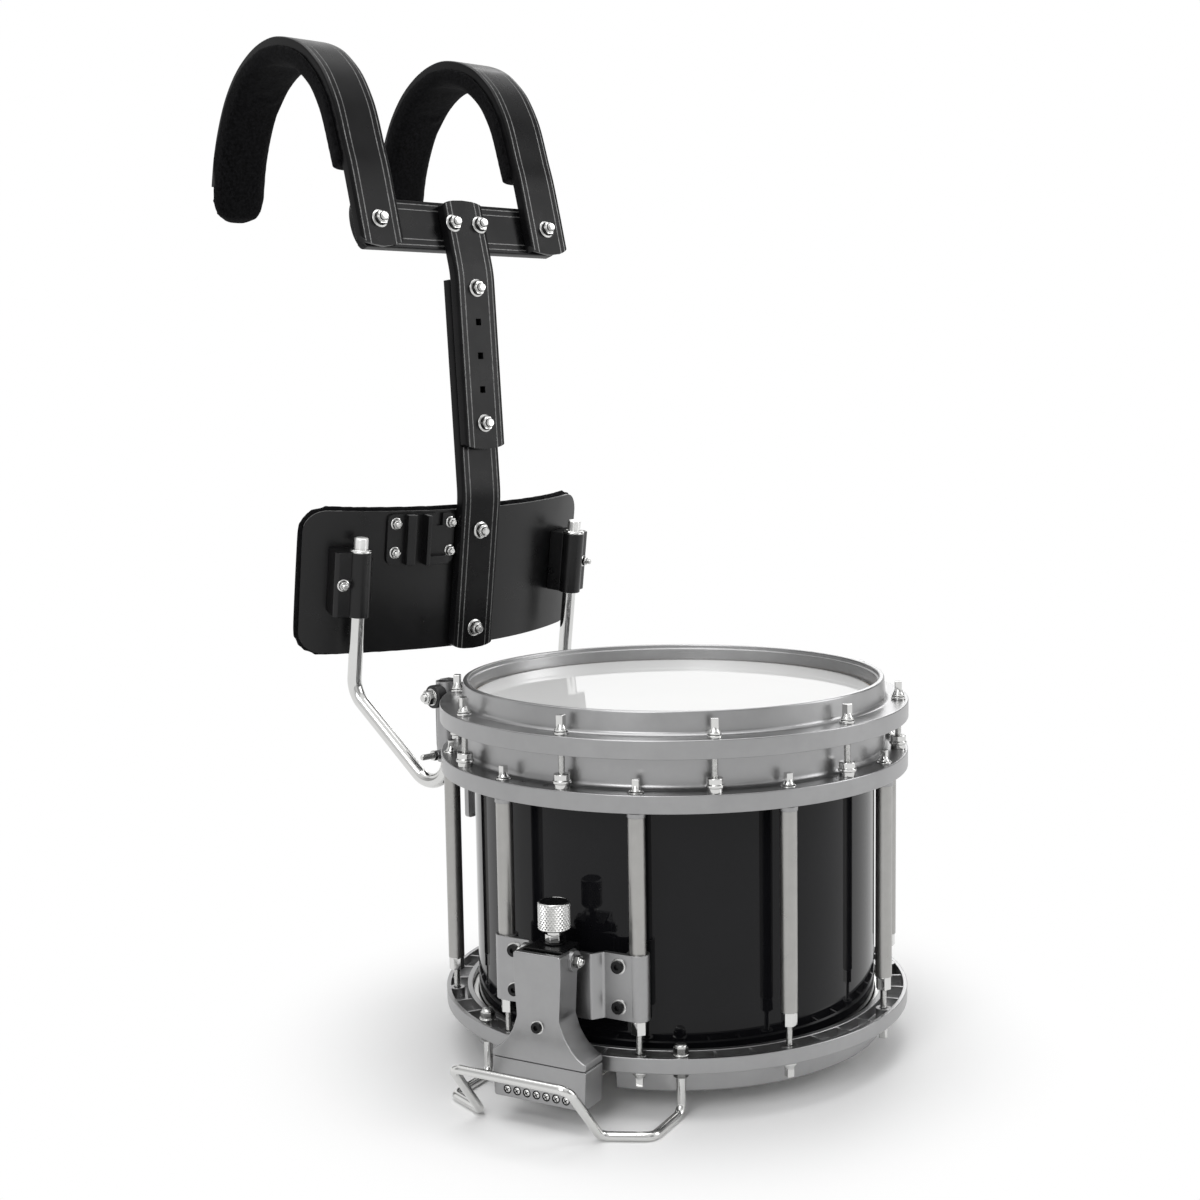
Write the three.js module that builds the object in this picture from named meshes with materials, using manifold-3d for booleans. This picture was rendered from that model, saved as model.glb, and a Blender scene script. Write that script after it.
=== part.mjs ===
// High-tension marching snare drum on its shoulder carrier.
// Millimetres, +Z up. The player stands on the +Y side and the drum's front looks along -Y.
// The drum is built about its own axis with the lower hoop's upper face at zero height,
// the snare strainer on its -X side, and is then turned under the carrier as one group.

import * as THREE from 'three';
import { mergeVertices, toCreasedNormals } from 'three/addons/utils/BufferGeometryUtils.js';
import Module from 'manifold-3d';

const wasm = await Module();
wasm.setup();

// Fits shared by the whole drum.
const clearance = 0.3;
const boreClearance = 0.35;
const overrun = 2;
const wallRootWidth = 4;
const weldTolerance = 1e-4;
const creaseAngle = THREE.MathUtils.degToRad(35);
const ringFacets = 40;

// How the drum stands under the carrier, and how many tension stations it has.
const drumTurn = THREE.MathUtils.degToRad(18);
const stationCount = 10;
const stationAngle = 2 * Math.PI / stationCount;

// Shell and heads.
const shellRadius = 175;
const shellWall = 6;
const batterHeadHeight = 258;
const snareHeadDrop = 20.5;
const filmThickness = 0.8;
const fleshHoopWidth = 4.4;
const fleshHoopHeight = 6;
const fleshHoopDrop = 9;

// Cast batter hoop.
const flangeDrop = 5.7;
const flangeHeight = batterHeadHeight - flangeDrop;
const flangeOverhang = 28.7;
const flangeRadius = shellRadius + flangeOverhang;
const flangePlate = 4.2;
const flangeSkirt = 15.1;
const flangeSkirtWall = 3.7;
const collarRise = 19.2;
const collarTopOut = 8;
const collarTopRadius = shellRadius + collarTopOut;
const collarTopWall = 4.6;
const collarRootOut = 9.2;
const collarRootRadius = shellRadius + collarRootOut;
const collarRootFillet = 2.2;
const collarRootWall = 4.7;
const collarLean = 1;
const bossRadius = 6.5;
const bossFacets = 6;
const websPerBay = 1;
const webWidth = 2.4;

// Cast lower hoop, the batter hoop's shape turned over.
const lowerFlangeDepth = 12.7;
const lowerFlangeOverhang = 28.4;
const lowerFlangeRadius = shellRadius + lowerFlangeOverhang;
const lowerCollarDrop = 21.8;
const gateHalfWidth = 36.5;

// Frame ring that ties the lug tubes together.
const frameRingDrop = 42.9;
const frameRingTop = flangeHeight - frameRingDrop;
const frameRingDepth = 14.8;
const bracketTopRise = 49;
const bracketTop = frameRingTop + bracketTopRise;
const frameRingOut = 28.5;
const frameRingRadius = shellRadius + frameRingOut;
const frameRingPlate = 4.2;
const frameRingWall = 3.5;
const frameRingFit = 3.5;
const frameRingBore = shellRadius + frameRingFit;
const edgeCollarOut = 9;
const edgeCollarRadius = shellRadius + edgeCollarOut;
const edgeCollarFillet = 3;
const tubeSeatRadius = 8;
const receiverRadius = 5.75;
const receiverFlangeRadius = 6.9;
const receiverNeckRadius = 5.2;
const receiverHeight = 12;
const receiverFlangeBottom = 4;
const receiverFlangeTop = 6.6;
const sightHoleRadius = 1.8;
const sightHoleInset = 10;
const sightHoleTurn = THREE.MathUtils.degToRad(5.4);

// Tension rods and lug tubes.
const rodCircleOut = 20;
const rodCircle = shellRadius + rodCircleOut;
const rodRadius = 2.75;
const rodFacets = 6;
const screwFacets = 8;
const keyHeadWidth = 6;
const keyHeadHeight = 11;
const collarWasherRadius = 6.1;
const collarWasherHeight = 2.4;
const upperWasherRadius = 5;
const upperWasherHeight = 2.2;
const tubeCircleOut = 19.6;
const tubeCircle = shellRadius + tubeCircleOut;
const tubeRadius = 6.9;
const tubeFacets = 8;
const tubeFoot = 27.5;
const tubeCollarRadius = 7.6;
const tubeCollarHeight = 4;
const hexAcross = 11.5;
const hexHeight = 11;
const tubeScrewWasherRadius = 6.6;
const tubeScrewWasherHeight = 1.8;
const tubeScrewHead = 9.5;
const lowerKeyHeadHeight = 10;
const lowerWasherHeight = 3.6;
const rodEngagement = 9;

// Strainer mount, clamped on the two lug tubes beside the strainer.
const clampBossRadius = 9.2;
const clampFoot = 28.2;
const clampHeight = 53.6;
const clampPlate = 4.6;
const clampStep = 9;
const clampStepInner = 28;
const clampStepOuter = 34;
const clampScrewOffset = 47.6;
const clampScrewHigh = 72;
const clampScrewLow = 39.2;
const socketHeadRadius = 3.9;
const socketHeadHeight = 3.6;
const socketRadius = 1.8;
const socketDepth = 2;
const pivotBlockOut = 54.5;
const pivotBlockFront = shellRadius + pivotBlockOut;
const pivotBlockHalfWidth = 17;
const pivotBlockTop = 89;
const pivotBlockHeight = 24;
const pivotOut = 44;
const pivotCircle = shellRadius + pivotOut;
const pivotHeight = 80;
const pivotRadius = 3;
const pivotNutRadius = 5.2;
const pivotNutHeight = 4;
const pivotDomeRadius = 3.4;
const pivotDomeHeight = 2.6;

// Throw arm: waisted front casting that hangs on the pivot.
const armOut = 64.4;
const armFront = shellRadius + armOut;
const armDepth = 27.4;
const armWall = 5.6;
const armTop = 88;
const armHalfWidth = 21;
const armWaistHalfWidth = 18.9;
const armFootHalfWidth = 42;
const armFootHeight = 6;
const armFootTop = 36;
const armSeam = 0.3;
const armHollowFoot = 36;
const armEarRadius = 8.5;
const armEarBoss = 2.6;
const armScrewHeight = 30;

// Strand block with its row of strand screws, and the knob that sets it.
const strandBlockHeight = 31.3;
const strandBlockTaper = 1.4;
const strandScrewCount = 7;
const strandScrewPitch = 8.8;
const strandScrewRadius = 2.5;
const strandScrewHeight = 1;
const strandScrewRise = 6.2;
const strandSlotFloor = 3;
const strandSlotHeight = 15;
const strandSlotHalfWidth = 34;
const strandSlotDepth = 17;
const knobOut = 36;
const knobCircle = shellRadius + knobOut;
const knobRadius = 13;
const knobHeight = 22.3;
const knobStemRadius = 8;
const knobStemHeight = 11.2;
const knobFacets = 16;
const knobEdge = 1;

// Snare strands under the lower head.
const strandCount = 14;
const strandPitch = 4.3;
const strandWidth = 1.2;
const strandBarLength = 8;
const strandBarHeight = 3;
const strandOut = 51;
const strandReach = shellRadius + strandOut;

// Butt plate on the far side, clamped on its own two lug tubes.
const buttNeckDepth = 12;
const buttBlockHalfWidth = 38;
const buttBlockTop = 6;
const buttNeckHalfWidth = 18;

// Wire bails that the drum stands on.
const bailWireRadius = 3.75;
const bailFacets = 6;
const bailBend = 9;
const bailFloor = 48;
const bailLegOut = 18.4;
const bailLegCircle = shellRadius + bailLegOut;
const bailLegAngle = THREE.MathUtils.degToRad(27.6);
const bailShoulderOut = 46.9;
const bailShoulderReach = shellRadius + bailShoulderOut;
const bailShoulderHalfWidth = 90.6;
const bailToeOut = 64;
const bailToeReach = shellRadius + bailToeOut;
const bailToeHalfWidth = 54.1;
const bailBarOut = 43;
const bailBarHalfWidth = 51.8;
const bailBarHeight = 3.4;
const bailNutAcross = 9.5;
const bailNutHeight = 5;
const bailTipHeight = 8;

// Extruded strip that the carrier is made of.
const stripWidth = 48;
const stripDepth = 10;
const stripFace = 4;
const stripFlange = 4.5;
const stripSeat = 0.3;
const endRounding = 6;
const boltWasherRadius = 8.6;
const boltWasherHeight = 1.6;
const boltNutRadius = 6.6;
const boltNutHeight = 5;
const boltTipRadius = 3.6;
const boltTipHeight = 3.2;
const smallBoltShare = 0.68;

// Spine strips.
const bellyHeightRise = 76.6;
const bellyHeight = bracketTop + bellyHeightRise;
const spineTopRise = 367;
const spineTop = bellyHeight + spineTopRise;
const headLength = 75.5;
const spineFootMargin = 24.7;
const spineFootGap = 73.5;
const spineFootSetback = shellRadius + spineFootGap;
const spineLean = 0.0616;
const spineBendLength = 12;
const headLean = 0.262;
const holePitch = 32.2;
const topBoltDrop = 8.5;
const holeCount = 5;
const squareHole = 6.4;
const lowerSpineTopDrop = 0.5;
const lowerSpineDrop = 67;
const lowerSpineFoot = bellyHeight - lowerSpineDrop;
const kneeRise = 91;
const kneeHeight = bellyHeight + kneeRise;
const kneeLength = 16;

// Crossbar and its bolts.
const crossbarDrop = 25;
const crossbarHalfLength = 125;
const crossbarCornerLength = 15;
const crossbarCornerHeight = 30;
const crossbarBoltSpread = 16;
const barBoltRise = 2;

// Shoulder straps and their pads.
const strapSpread = 102;
const strapFootDrop = 23;
const strapRise = 205;
const strapReach = 262;
const strapFootRounding = 10;
const padWidth = 58;
const padThickness = 17;
const padFrontRise = 34;
const padRearDrop = 34;

// Belly plate, its pad and the rod blocks on it.
const bellyLean = THREE.MathUtils.degToRad(7.9);
const bellyRadius = 369;
const bellyHalfLength = 171;
const bellyPlate = 3;
const bellyTopRise = 79;
const bellyFootDrop = 66;
const bellyCorner = 22;
const upperBoltShare = 0.64;
const lowerBoltShare = 0.7;
const bellyPadThickness = 13;
const bellyPadOverhang = 3;
const rodBlockSpread = 126.5;
const rodBlockStandoff = 23;
const rodBlockRadius = 11;
const rodBlockTopRise = 41;
const rodBlockFootDrop = 24;
const rodBlockEar = 24.5;
const rodBlockEarDepth = 27.7;
const rodBlockNeckHalfWidth = 8;
const rodBlockBoltOffset = 17;
const accessoryInner = 26;
const accessoryOuter = 97;
const accessoryFootRise = 20;
const accessoryHeight = 54;
const accessoryBase = 3;
const accessoryRailDepth = 10;
const accessoryRailWidth = 9;
const accessoryFinDepth = 14;
const accessoryFinWidth = 4;
const accessoryShelfHeight = 8;
const accessoryBoltInset = 9;
const accessoryBoltRise = 13;
const accessoryNotchWidth = 7;
const accessoryNotchDepth = 12;

// J-shaped rods that carry the drum.
const jRodRadius = 6.8;
const jRodFacets = 8;
const jRodStub = 16;
const jRodKneeDrop = 19;
const jRodKneeHeight = bracketTop - jRodKneeDrop;
const jRodKneeBend = 28;
const jRodHookBend = 20.6;
const jRodTipSpread = 106.5;
const jRodTipOut = 9.5;
const jRodTipReach = shellRadius + jRodTipOut;
const jRodTipDrop = 8;
const jRodTipHeight = bracketTop - jRodTipDrop;
const jRodSlope = 0.93;

// Brackets on the drum that the J-rods hook into.
const bracketDepth = 74;
const bracketFoot = bracketTop - bracketDepth;
const bracketHalfWidth = 14;
const bracketEyeRadius = 9.5;
const bracketOut = 34;
const bracketReach = shellRadius + bracketOut;
const bracketCorner = 8;
const bracketArm = 6;
const bracketArmDepth = 137.4;
const bracketArmFoot = bracketTop - bracketArmDepth;
const bracketBossDrop = 134.4;
const bracketBossFoot = bracketTop - bracketBossDrop;
const bracketBossHeight = 40;
const bracketDiscRadius = 10.6;
const discFacets = 12;
const bracketDiscHeight = 10;
const bracketDiscRise = 61;
const bracketNutRadius = 6.6;
const bracketNutHeight = 7;
const bracketStudRadius = 2.6;
const bracketStudLength = 18;
const bracketStudNutRadius = 4.6;
const bracketStudNutHeight = 4;
const bracketStudRise = 8;

// Outlines as shares of the sizes they follow.
const strapCurveShares = [
  [0.0000, 0.000], [0.0469, 0.234], [0.0760, 0.370], [0.1000, 0.460], [0.1380, 0.610],
  [0.1700, 0.700], [0.2200, 0.800], [0.2800, 0.876], [0.3450, 0.935], [0.4350, 0.980],
  [0.5310, 1.000], [0.6250, 0.985], [0.7150, 0.940], [0.7980, 0.868], [0.8700, 0.765],
  [0.9250, 0.640], [0.9660, 0.505], [0.9900, 0.370],
];
const padSectionShares = [
  [-0.42, 0.50], [0.42, 0.50], [0.50, 0.36], [0.50, -0.06], [0.45, -0.30],
  [0.30, -0.44], [0.00, -0.50], [-0.30, -0.44], [-0.45, -0.30], [-0.50, -0.06], [-0.50, 0.36],
];
const padRearShares = [[1, 1], [0.98, 0.98], [0.84, 0.9], [0.56, 0.7]];
const padFrontShares = [[0.92, 0.8], [1, 1]];
const bellyPadEndShares = [[0.62, 0.5], [0.88, 0.86], [0.97, 1]];
const armFlareShares = [
  [0.00, 1.00], [0.05, 0.86], [0.16, 0.66], [0.34, 0.42], [0.62, 0.18], [1.00, 0.00],
];
const endArcShares = [-1, -0.7, 0, 0.7, 1];

// Geometry helpers.

// A closed solid from any geometry, with shared vertices merged and its faces pointing out.
function solid(geometry) {
  const bare = new THREE.BufferGeometry();
  bare.setAttribute('position', geometry.getAttribute('position'));
  if (geometry.index) bare.setIndex(geometry.index);
  const merged = mergeVertices(bare, weldTolerance);
  const position = merged.getAttribute('position');
  const corners = [];
  const a = new THREE.Vector3();
  const b = new THREE.Vector3();
  const c = new THREE.Vector3();
  let volume = 0;
  for (let i = 0; i < merged.index.count; i += 3) {
    const tri = [0, 1, 2].map((k) => merged.index.getX(i + k));
    if (tri[0] === tri[1] || tri[1] === tri[2] || tri[2] === tri[0]) continue;
    a.fromBufferAttribute(position, tri[0]);
    b.fromBufferAttribute(position, tri[1]);
    c.fromBufferAttribute(position, tri[2]);
    volume += a.dot(b.cross(c));
    corners.push(...tri);
  }
  if (volume < 0) {
    for (let i = 0; i < corners.length; i += 3) {
      [corners[i], corners[i + 1]] = [corners[i + 1], corners[i]];
    }
  }
  const vertProperties = new Float32Array(position.array);
  const triVerts = new Uint32Array(corners);
  return new wasm.Manifold(new wasm.Mesh({ numProp: 3, vertProperties, triVerts }));
}

function geometryOf(manifold) {
  const mesh = manifold.getMesh();
  const geometry = new THREE.BufferGeometry();
  const count = mesh.vertProperties.length / mesh.numProp;
  const positions = new Float32Array(count * 3);
  for (let i = 0; i < count; i += 1) {
    for (let k = 0; k < 3; k += 1) {
      positions[3 * i + k] = mesh.vertProperties[mesh.numProp * i + k];
    }
  }
  geometry.setAttribute('position', new THREE.BufferAttribute(positions, 3));
  geometry.setIndex([...mesh.triVerts]);
  return geometry;
}

function join(...solids) {
  return solids.reduce((sum, next) => sum.add(next));
}

function cut(body, ...tools) {
  return tools.reduce((rest, tool) => rest.subtract(tool), body);
}

// A solid moved by a matrix, or turned over when the matrix mirrors.
function moved(manifold, matrix) {
  return solid(geometryOf(manifold).applyMatrix4(matrix));
}

function mirrored(manifold) {
  return moved(manifold, new THREE.Matrix4().makeScale(-1, 1, 1));
}

function turnedAboutZ(manifold, angle) {
  return moved(manifold, new THREE.Matrix4().makeRotationZ(angle));
}

// Revolve of a closed [radius, height] profile about Z.
function revolve(profile, facets = ringFacets) {
  const points = [...profile, profile[0]].map(([r, z]) => new THREE.Vector2(r, z));
  return solid(new THREE.LatheGeometry(points, facets).rotateX(Math.PI / 2));
}

// Stack of round or faceted steps on the Z axis: [radius, lower height, upper height].
function post(radius, low, high, facets, x = 0, y = 0, turn = 0) {
  const geometry = new THREE.CylinderGeometry(radius, radius, high - low, facets);
  geometry.rotateX(Math.PI / 2).rotateZ(turn).translate(x, y, (low + high) / 2);
  return solid(geometry);
}

function cylinderBetween(from, to, radius, facets) {
  const start = new THREE.Vector3(...from);
  const end = new THREE.Vector3(...to);
  const axis = end.clone().sub(start);
  const geometry = new THREE.CylinderGeometry(radius, radius, axis.length(), facets);
  const turn = new THREE.Quaternion().setFromUnitVectors(new THREE.Vector3(0, 1, 0), axis.normalize());
  geometry.applyQuaternion(turn);
  const middle = start.add(end).multiplyScalar(0.5);
  return solid(geometry.translate(middle.x, middle.y, middle.z));
}

function box(x, y, z) {
  const size = [x, y, z].map(([low, high]) => high - low);
  const middle = [x, y, z].map(([low, high]) => (low + high) / 2);
  return solid(new THREE.BoxGeometry(...size).translate(...middle));
}

function extrude(outline, low, high) {
  const shape = new THREE.Shape(outline.map(([u, v]) => new THREE.Vector2(u, v)));
  const options = { depth: high - low, bevelEnabled: false, steps: 1 };
  return new THREE.ExtrudeGeometry(shape, options).translate(0, 0, low);
}

// Outline in X and Y, extruded along Z.
function prismZ(outline, low, high) {
  return solid(extrude(outline, low, high));
}

// Outline in Y and Z, extruded along X.
function prismX(outline, low, high) {
  return solid(extrude(outline, low, high).rotateX(Math.PI / 2).rotateZ(Math.PI / 2));
}

// Outline in X and Z, extruded along Y.
function prismY(outline, low, high) {
  return solid(extrude(outline, -high, -low).rotateX(Math.PI / 2));
}

// A path through given stations, so that a section stands at each of them.
class StationCurve extends THREE.Curve {
  constructor(stations) {
    super();
    this.stations = stations;
  }

  getPoint(t, target = new THREE.Vector3()) {
    const place = t * (this.stations.length - 1);
    const i = Math.min(Math.floor(place + 1e-9), this.stations.length - 2);
    return target.copy(this.stations[i]).lerp(this.stations[i + 1], place - i);
  }

  getPointAt(t, target) {
    return this.getPoint(t, target);
  }

  getTangentAt(t, target = new THREE.Vector3()) {
    const last = this.stations.length - 1;
    const i = Math.round(t * last);
    const before = this.stations[Math.max(i - 1, 0)];
    const here = this.stations[i];
    const after = this.stations[Math.min(i + 1, last)];
    const incoming = here.clone().sub(before).normalize();
    const outgoing = after.clone().sub(here).normalize();
    return target.copy(incoming.add(outgoing)).normalize();
  }
}

// Stations of a bent rod: straight runs, with each inner corner rounded to its radius.
function bentPath(points, radii, stepAngle = Math.PI / 6) {
  const corners = points.map((p) => new THREE.Vector3(...p));
  const stations = [corners[0]];
  for (let i = 1; i < corners.length - 1; i += 1) {
    const back = corners[i - 1].clone().sub(corners[i]).normalize();
    const ahead = corners[i + 1].clone().sub(corners[i]).normalize();
    const half = back.angleTo(ahead) / 2;
    const radius = radii[i - 1];
    const bisector = back.clone().add(ahead).normalize();
    const centre = corners[i].clone().add(bisector.multiplyScalar(radius / Math.sin(half)));
    const start = corners[i].clone().add(back.clone().multiplyScalar(radius / Math.tan(half)));
    const end = corners[i].clone().add(ahead.clone().multiplyScalar(radius / Math.tan(half)));
    const swing = Math.PI - 2 * half;
    const steps = Math.max(2, Math.ceil(swing / stepAngle));
    const from = start.clone().sub(centre);
    const axis = from.clone().cross(end.clone().sub(centre)).normalize();
    for (let k = 0; k <= steps; k += 1) {
      stations.push(from.clone().applyAxisAngle(axis, swing * k / steps).add(centre));
    }
  }
  stations.push(corners[corners.length - 1]);
  return stations;
}

function rodAlong(stations, radius, facets) {
  const ring = [];
  for (let k = 0; k < facets; k += 1) {
    const angle = 2 * Math.PI * k / facets;
    ring.push(new THREE.Vector2(radius * Math.cos(angle), radius * Math.sin(angle)));
  }
  const options = {
    steps: stations.length - 1,
    extrudePath: new StationCurve(stations),
    bevelEnabled: false,
  };
  return solid(new THREE.ExtrudeGeometry(new THREE.Shape(ring), options));
}

// Skin over a row of rings with equal point counts, closed by a fan at each end.
function loft(rings) {
  const positions = [];
  const count = rings[0].length;
  rings.flat().forEach((p) => positions.push(p.x, p.y, p.z));
  const index = [];
  for (let i = 0; i < rings.length - 1; i += 1) {
    for (let k = 0; k < count; k += 1) {
      const next = (k + 1) % count;
      const a = i * count + k;
      const b = i * count + next;
      index.push(a, b, b + count, a, b + count, a + count);
    }
  }
  [0, rings.length - 1].forEach((row) => {
    const hub = new THREE.Vector3();
    rings[row].forEach((p) => hub.add(p));
    hub.divideScalar(count);
    positions.push(hub.x, hub.y, hub.z);
    const centre = positions.length / 3 - 1;
    for (let k = 0; k < count; k += 1) {
      const a = row * count + k;
      const b = row * count + (k + 1) % count;
      if (row === 0) index.push(b, a, centre);
      else index.push(a, b, centre);
    }
  });
  const geometry = new THREE.BufferGeometry();
  geometry.setAttribute('position', new THREE.BufferAttribute(new Float32Array(positions), 3));
  geometry.setIndex(index);
  return solid(geometry);
}

// Radius of a faceted bore that clears a round rod all round.
function bore(rod, facets) {
  return (rod + boreClearance) / Math.cos(Math.PI / facets);
}

function onCircle(radius, angle) {
  return [radius * Math.cos(angle), radius * Math.sin(angle)];
}

function squareOn(width, x, z) {
  const half = width / 2;
  return [[x - half, z - half], [x + half, z - half], [x + half, z + half], [x - half, z + half]];
}

// Materials.
const castGrey = new THREE.MeshStandardMaterial({ color: 0x9c9ea0, roughness: 0.45, metalness: 0.75 });
const tubeGrey = new THREE.MeshStandardMaterial({ color: 0xa3a19b, roughness: 0.35, metalness: 0.8 });
const chrome = new THREE.MeshStandardMaterial({ color: 0xe2e3e4, roughness: 0.12, metalness: 1 });
const gloss = new THREE.MeshStandardMaterial({ color: 0x060606, roughness: 0.06, metalness: 0 });
const head = new THREE.MeshStandardMaterial({ color: 0xe9e9e7, roughness: 0.55, metalness: 0 });
const satinBlack = new THREE.MeshStandardMaterial({ color: 0x161617, roughness: 0.42, metalness: 0.6 });
const foam = new THREE.MeshStandardMaterial({ color: 0x0b0b0c, roughness: 0.95, metalness: 0 });
const wire = new THREE.MeshStandardMaterial({ color: 0xc9cacb, roughness: 0.3, metalness: 1 });

const part = new THREE.Group();
const drum = new THREE.Group();
const carrier = new THREE.Group();
drum.rotation.z = drumTurn;
part.add(drum, carrier);

function addMesh(group, name, manifold, material) {
  const mesh = new THREE.Mesh(toCreasedNormals(geometryOf(manifold), creaseAngle), material);
  mesh.name = name;
  group.add(mesh);
  return mesh;
}

// Ten copies of one piece round the drum, counted from the strainer's left.
function addRing(group, name, manifold, material, circle, firstAngle) {
  const geometry = toCreasedNormals(geometryOf(manifold), creaseAngle);
  for (let i = 0; i < stationCount; i += 1) {
    const angle = firstAngle + i * stationAngle;
    const mesh = new THREE.Mesh(geometry, material);
    mesh.name = `${name}_${String(i + 1).padStart(2, '0')}`;
    mesh.position.set(circle * Math.cos(angle), circle * Math.sin(angle), 0);
    mesh.rotation.z = angle;
    group.add(mesh);
  }
}

const rodStart = Math.PI;
const tubeStart = Math.PI + stationAngle / 2;

// Shell and heads.
const filmRadius = shellRadius + clearance + filmThickness;
const fleshRadius = filmRadius + fleshHoopWidth;
const shellTop = batterHeadHeight - filmThickness - clearance;
const shellFoot = -snareHeadDrop + filmThickness + clearance;
const shellProfile = [
  [shellRadius, shellFoot], [shellRadius, shellTop],
  [shellRadius - shellWall, shellTop], [shellRadius - shellWall, shellFoot],
];
addMesh(drum, 'shell', revolve(shellProfile), gloss);

// A drumhead: film over the bearing edge, drawn down outside the shell into its flesh hoop.
function headProfile(plane, side) {
  const at = (drop) => plane - side * drop;
  return [
    [0, plane], [filmRadius, plane],
    [filmRadius, at(fleshHoopDrop)], [fleshRadius, at(fleshHoopDrop)],
    [fleshRadius, at(fleshHoopDrop + fleshHoopHeight)],
    [filmRadius - filmThickness, at(fleshHoopDrop + fleshHoopHeight)],
    [filmRadius - filmThickness, at(filmThickness)], [0, at(filmThickness)],
  ];
}
addMesh(drum, 'batter_head', revolve(headProfile(batterHeadHeight, 1)), head);
addMesh(drum, 'snare_head', revolve(headProfile(-snareHeadDrop, -1)), head);

// A cast hoop's section, written from the flange's outer face towards its open pockets.
function hoopProfile(face, side, edgeRadius, skirt, rise, headPlane) {
  const at = (drop) => face - side * drop;
  const step = headPlane - side * (fleshHoopDrop - clearance);
  const innerWall = collarRootRadius + collarRootFillet / 2 - wallRootWidth;
  const wallInside = Math.max(innerWall, fleshRadius + clearance);
  const collarBore = filmRadius + collarLean;
  return [
    [collarBore, step], [collarTopRadius - collarTopWall, at(-rise)],
    [collarTopRadius, at(-rise)], [collarRootRadius, at(-collarRootFillet)],
    [collarRootRadius + collarRootFillet, face],
    [edgeRadius, face],
    [edgeRadius, at(skirt)], [edgeRadius - flangeSkirtWall, at(skirt)],
    [edgeRadius - flangeSkirtWall, at(flangePlate)],
    [wallInside + collarRootWall, at(flangePlate)], [wallInside + collarRootWall, at(skirt)],
    [wallInside, at(skirt)], [wallInside, step],
  ];
}

// Bosses for the rods and thin radial webs between them, inside a hoop's open pocket.
function pocketFeatures(face, side, edgeRadius, skirt, firstAngle, circle) {
  const inside = fleshRadius + clearance + collarRootWall / 2;
  const outside = edgeRadius - flangeSkirtWall / 2;
  const plateSide = face - side * (flangePlate / 2);
  const openSide = face - side * skirt;
  const heights = [plateSide, openSide].sort((a, b) => a - b);
  const webOpen = face - side * (skirt - flangeSkirtWall / 2);
  const webHeights = [plateSide, webOpen].sort((a, b) => a - b);
  const features = [];
  for (let i = 0; i < stationCount; i += 1) {
    const angle = firstAngle + i * stationAngle;
    const [x, y] = onCircle(circle, angle);
    features.push(post(bossRadius, ...heights, bossFacets, x, y, angle));
    for (let k = 1; k <= websPerBay; k += 1) {
      const web = box([inside, outside], [-webWidth / 2, webWidth / 2], webHeights);
      features.push(turnedAboutZ(web, angle + k * stationAngle / (websPerBay + 1)));
    }
  }
  return features;
}

function rodHoles(circle, firstAngle, low, high) {
  const holes = [];
  for (let i = 0; i < stationCount; i += 1) {
    const angle = firstAngle + i * stationAngle;
    holes.push(post(bore(rodRadius, rodFacets), low, high, rodFacets, ...onCircle(circle, angle), angle));
  }
  return holes;
}

const batterHoop = cut(
  join(
    revolve(hoopProfile(flangeHeight, 1, flangeRadius, flangeSkirt, collarRise, batterHeadHeight)),
    ...pocketFeatures(flangeHeight, 1, flangeRadius, flangeSkirt, rodStart, rodCircle),
  ),
  ...rodHoles(rodCircle, rodStart, flangeHeight - flangeSkirt - overrun, flangeHeight + overrun),
);
addMesh(drum, 'batter_hoop', batterHoop, castGrey);

// The lower hoop: pockets open upwards, gates in its collar for the snare strands,
// and plain holes for the bail legs.
const bailLegs = [bailLegAngle, -bailLegAngle, Math.PI - bailLegAngle, Math.PI + bailLegAngle];
const bailHoles = bailLegs.map((angle) => post(
  bore(bailWireRadius, rodFacets), -lowerFlangeDepth - overrun, overrun, rodFacets,
  ...onCircle(bailLegCircle, angle),
));
const gateReach = collarRootRadius + overrun;
const gateBottom = -lowerFlangeDepth - lowerCollarDrop - overrun;
const gate = box([-gateReach, gateReach], [-gateHalfWidth, gateHalfWidth], [gateBottom, -lowerFlangeDepth]);
const snareHoop = cut(
  join(
    revolve(hoopProfile(
      -lowerFlangeDepth, -1, lowerFlangeRadius, lowerFlangeDepth, lowerCollarDrop, -snareHeadDrop,
    )),
    ...pocketFeatures(-lowerFlangeDepth, -1, lowerFlangeRadius, lowerFlangeDepth, tubeStart, tubeCircle),
  ),
  ...rodHoles(tubeCircle, tubeStart, -lowerFlangeDepth - overrun, overrun),
  ...bailHoles,
  gate,
);
addMesh(drum, 'snare_hoop', snareHoop, castGrey);

// Frame ring: a flat ring with an outer skirt and a tall edge collar round the shell's top,
// seats for the lug tubes below it and stepped receivers for the batter rods on top.
const frameRingFoot = frameRingTop - frameRingDepth;
const edgeCollarTop = flangeHeight - flangeSkirt - clearance;
const frameRingProfile = [
  [frameRingBore, frameRingTop - frameRingPlate], [frameRingBore, edgeCollarTop],
  [edgeCollarRadius, edgeCollarTop], [edgeCollarRadius, frameRingTop + edgeCollarFillet],
  [edgeCollarRadius + edgeCollarFillet, frameRingTop],
  [frameRingRadius, frameRingTop], [frameRingRadius, frameRingFoot],
  [frameRingRadius - frameRingWall, frameRingFoot],
  [frameRingRadius - frameRingWall, frameRingTop - frameRingPlate],
];
const receiverProfile = [
  [0, -frameRingPlate / 2], [receiverRadius, -frameRingPlate / 2], [receiverRadius, receiverFlangeBottom],
  [receiverFlangeRadius, receiverFlangeBottom], [receiverFlangeRadius, receiverFlangeTop],
  [receiverNeckRadius, receiverFlangeTop], [receiverNeckRadius, receiverHeight], [0, receiverHeight],
];
const receiver = moved(
  revolve(receiverProfile, rodFacets),
  new THREE.Matrix4().makeTranslation(rodCircle, 0, frameRingTop),
);
const frameFeatures = [];
const sightHoles = [];
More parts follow.
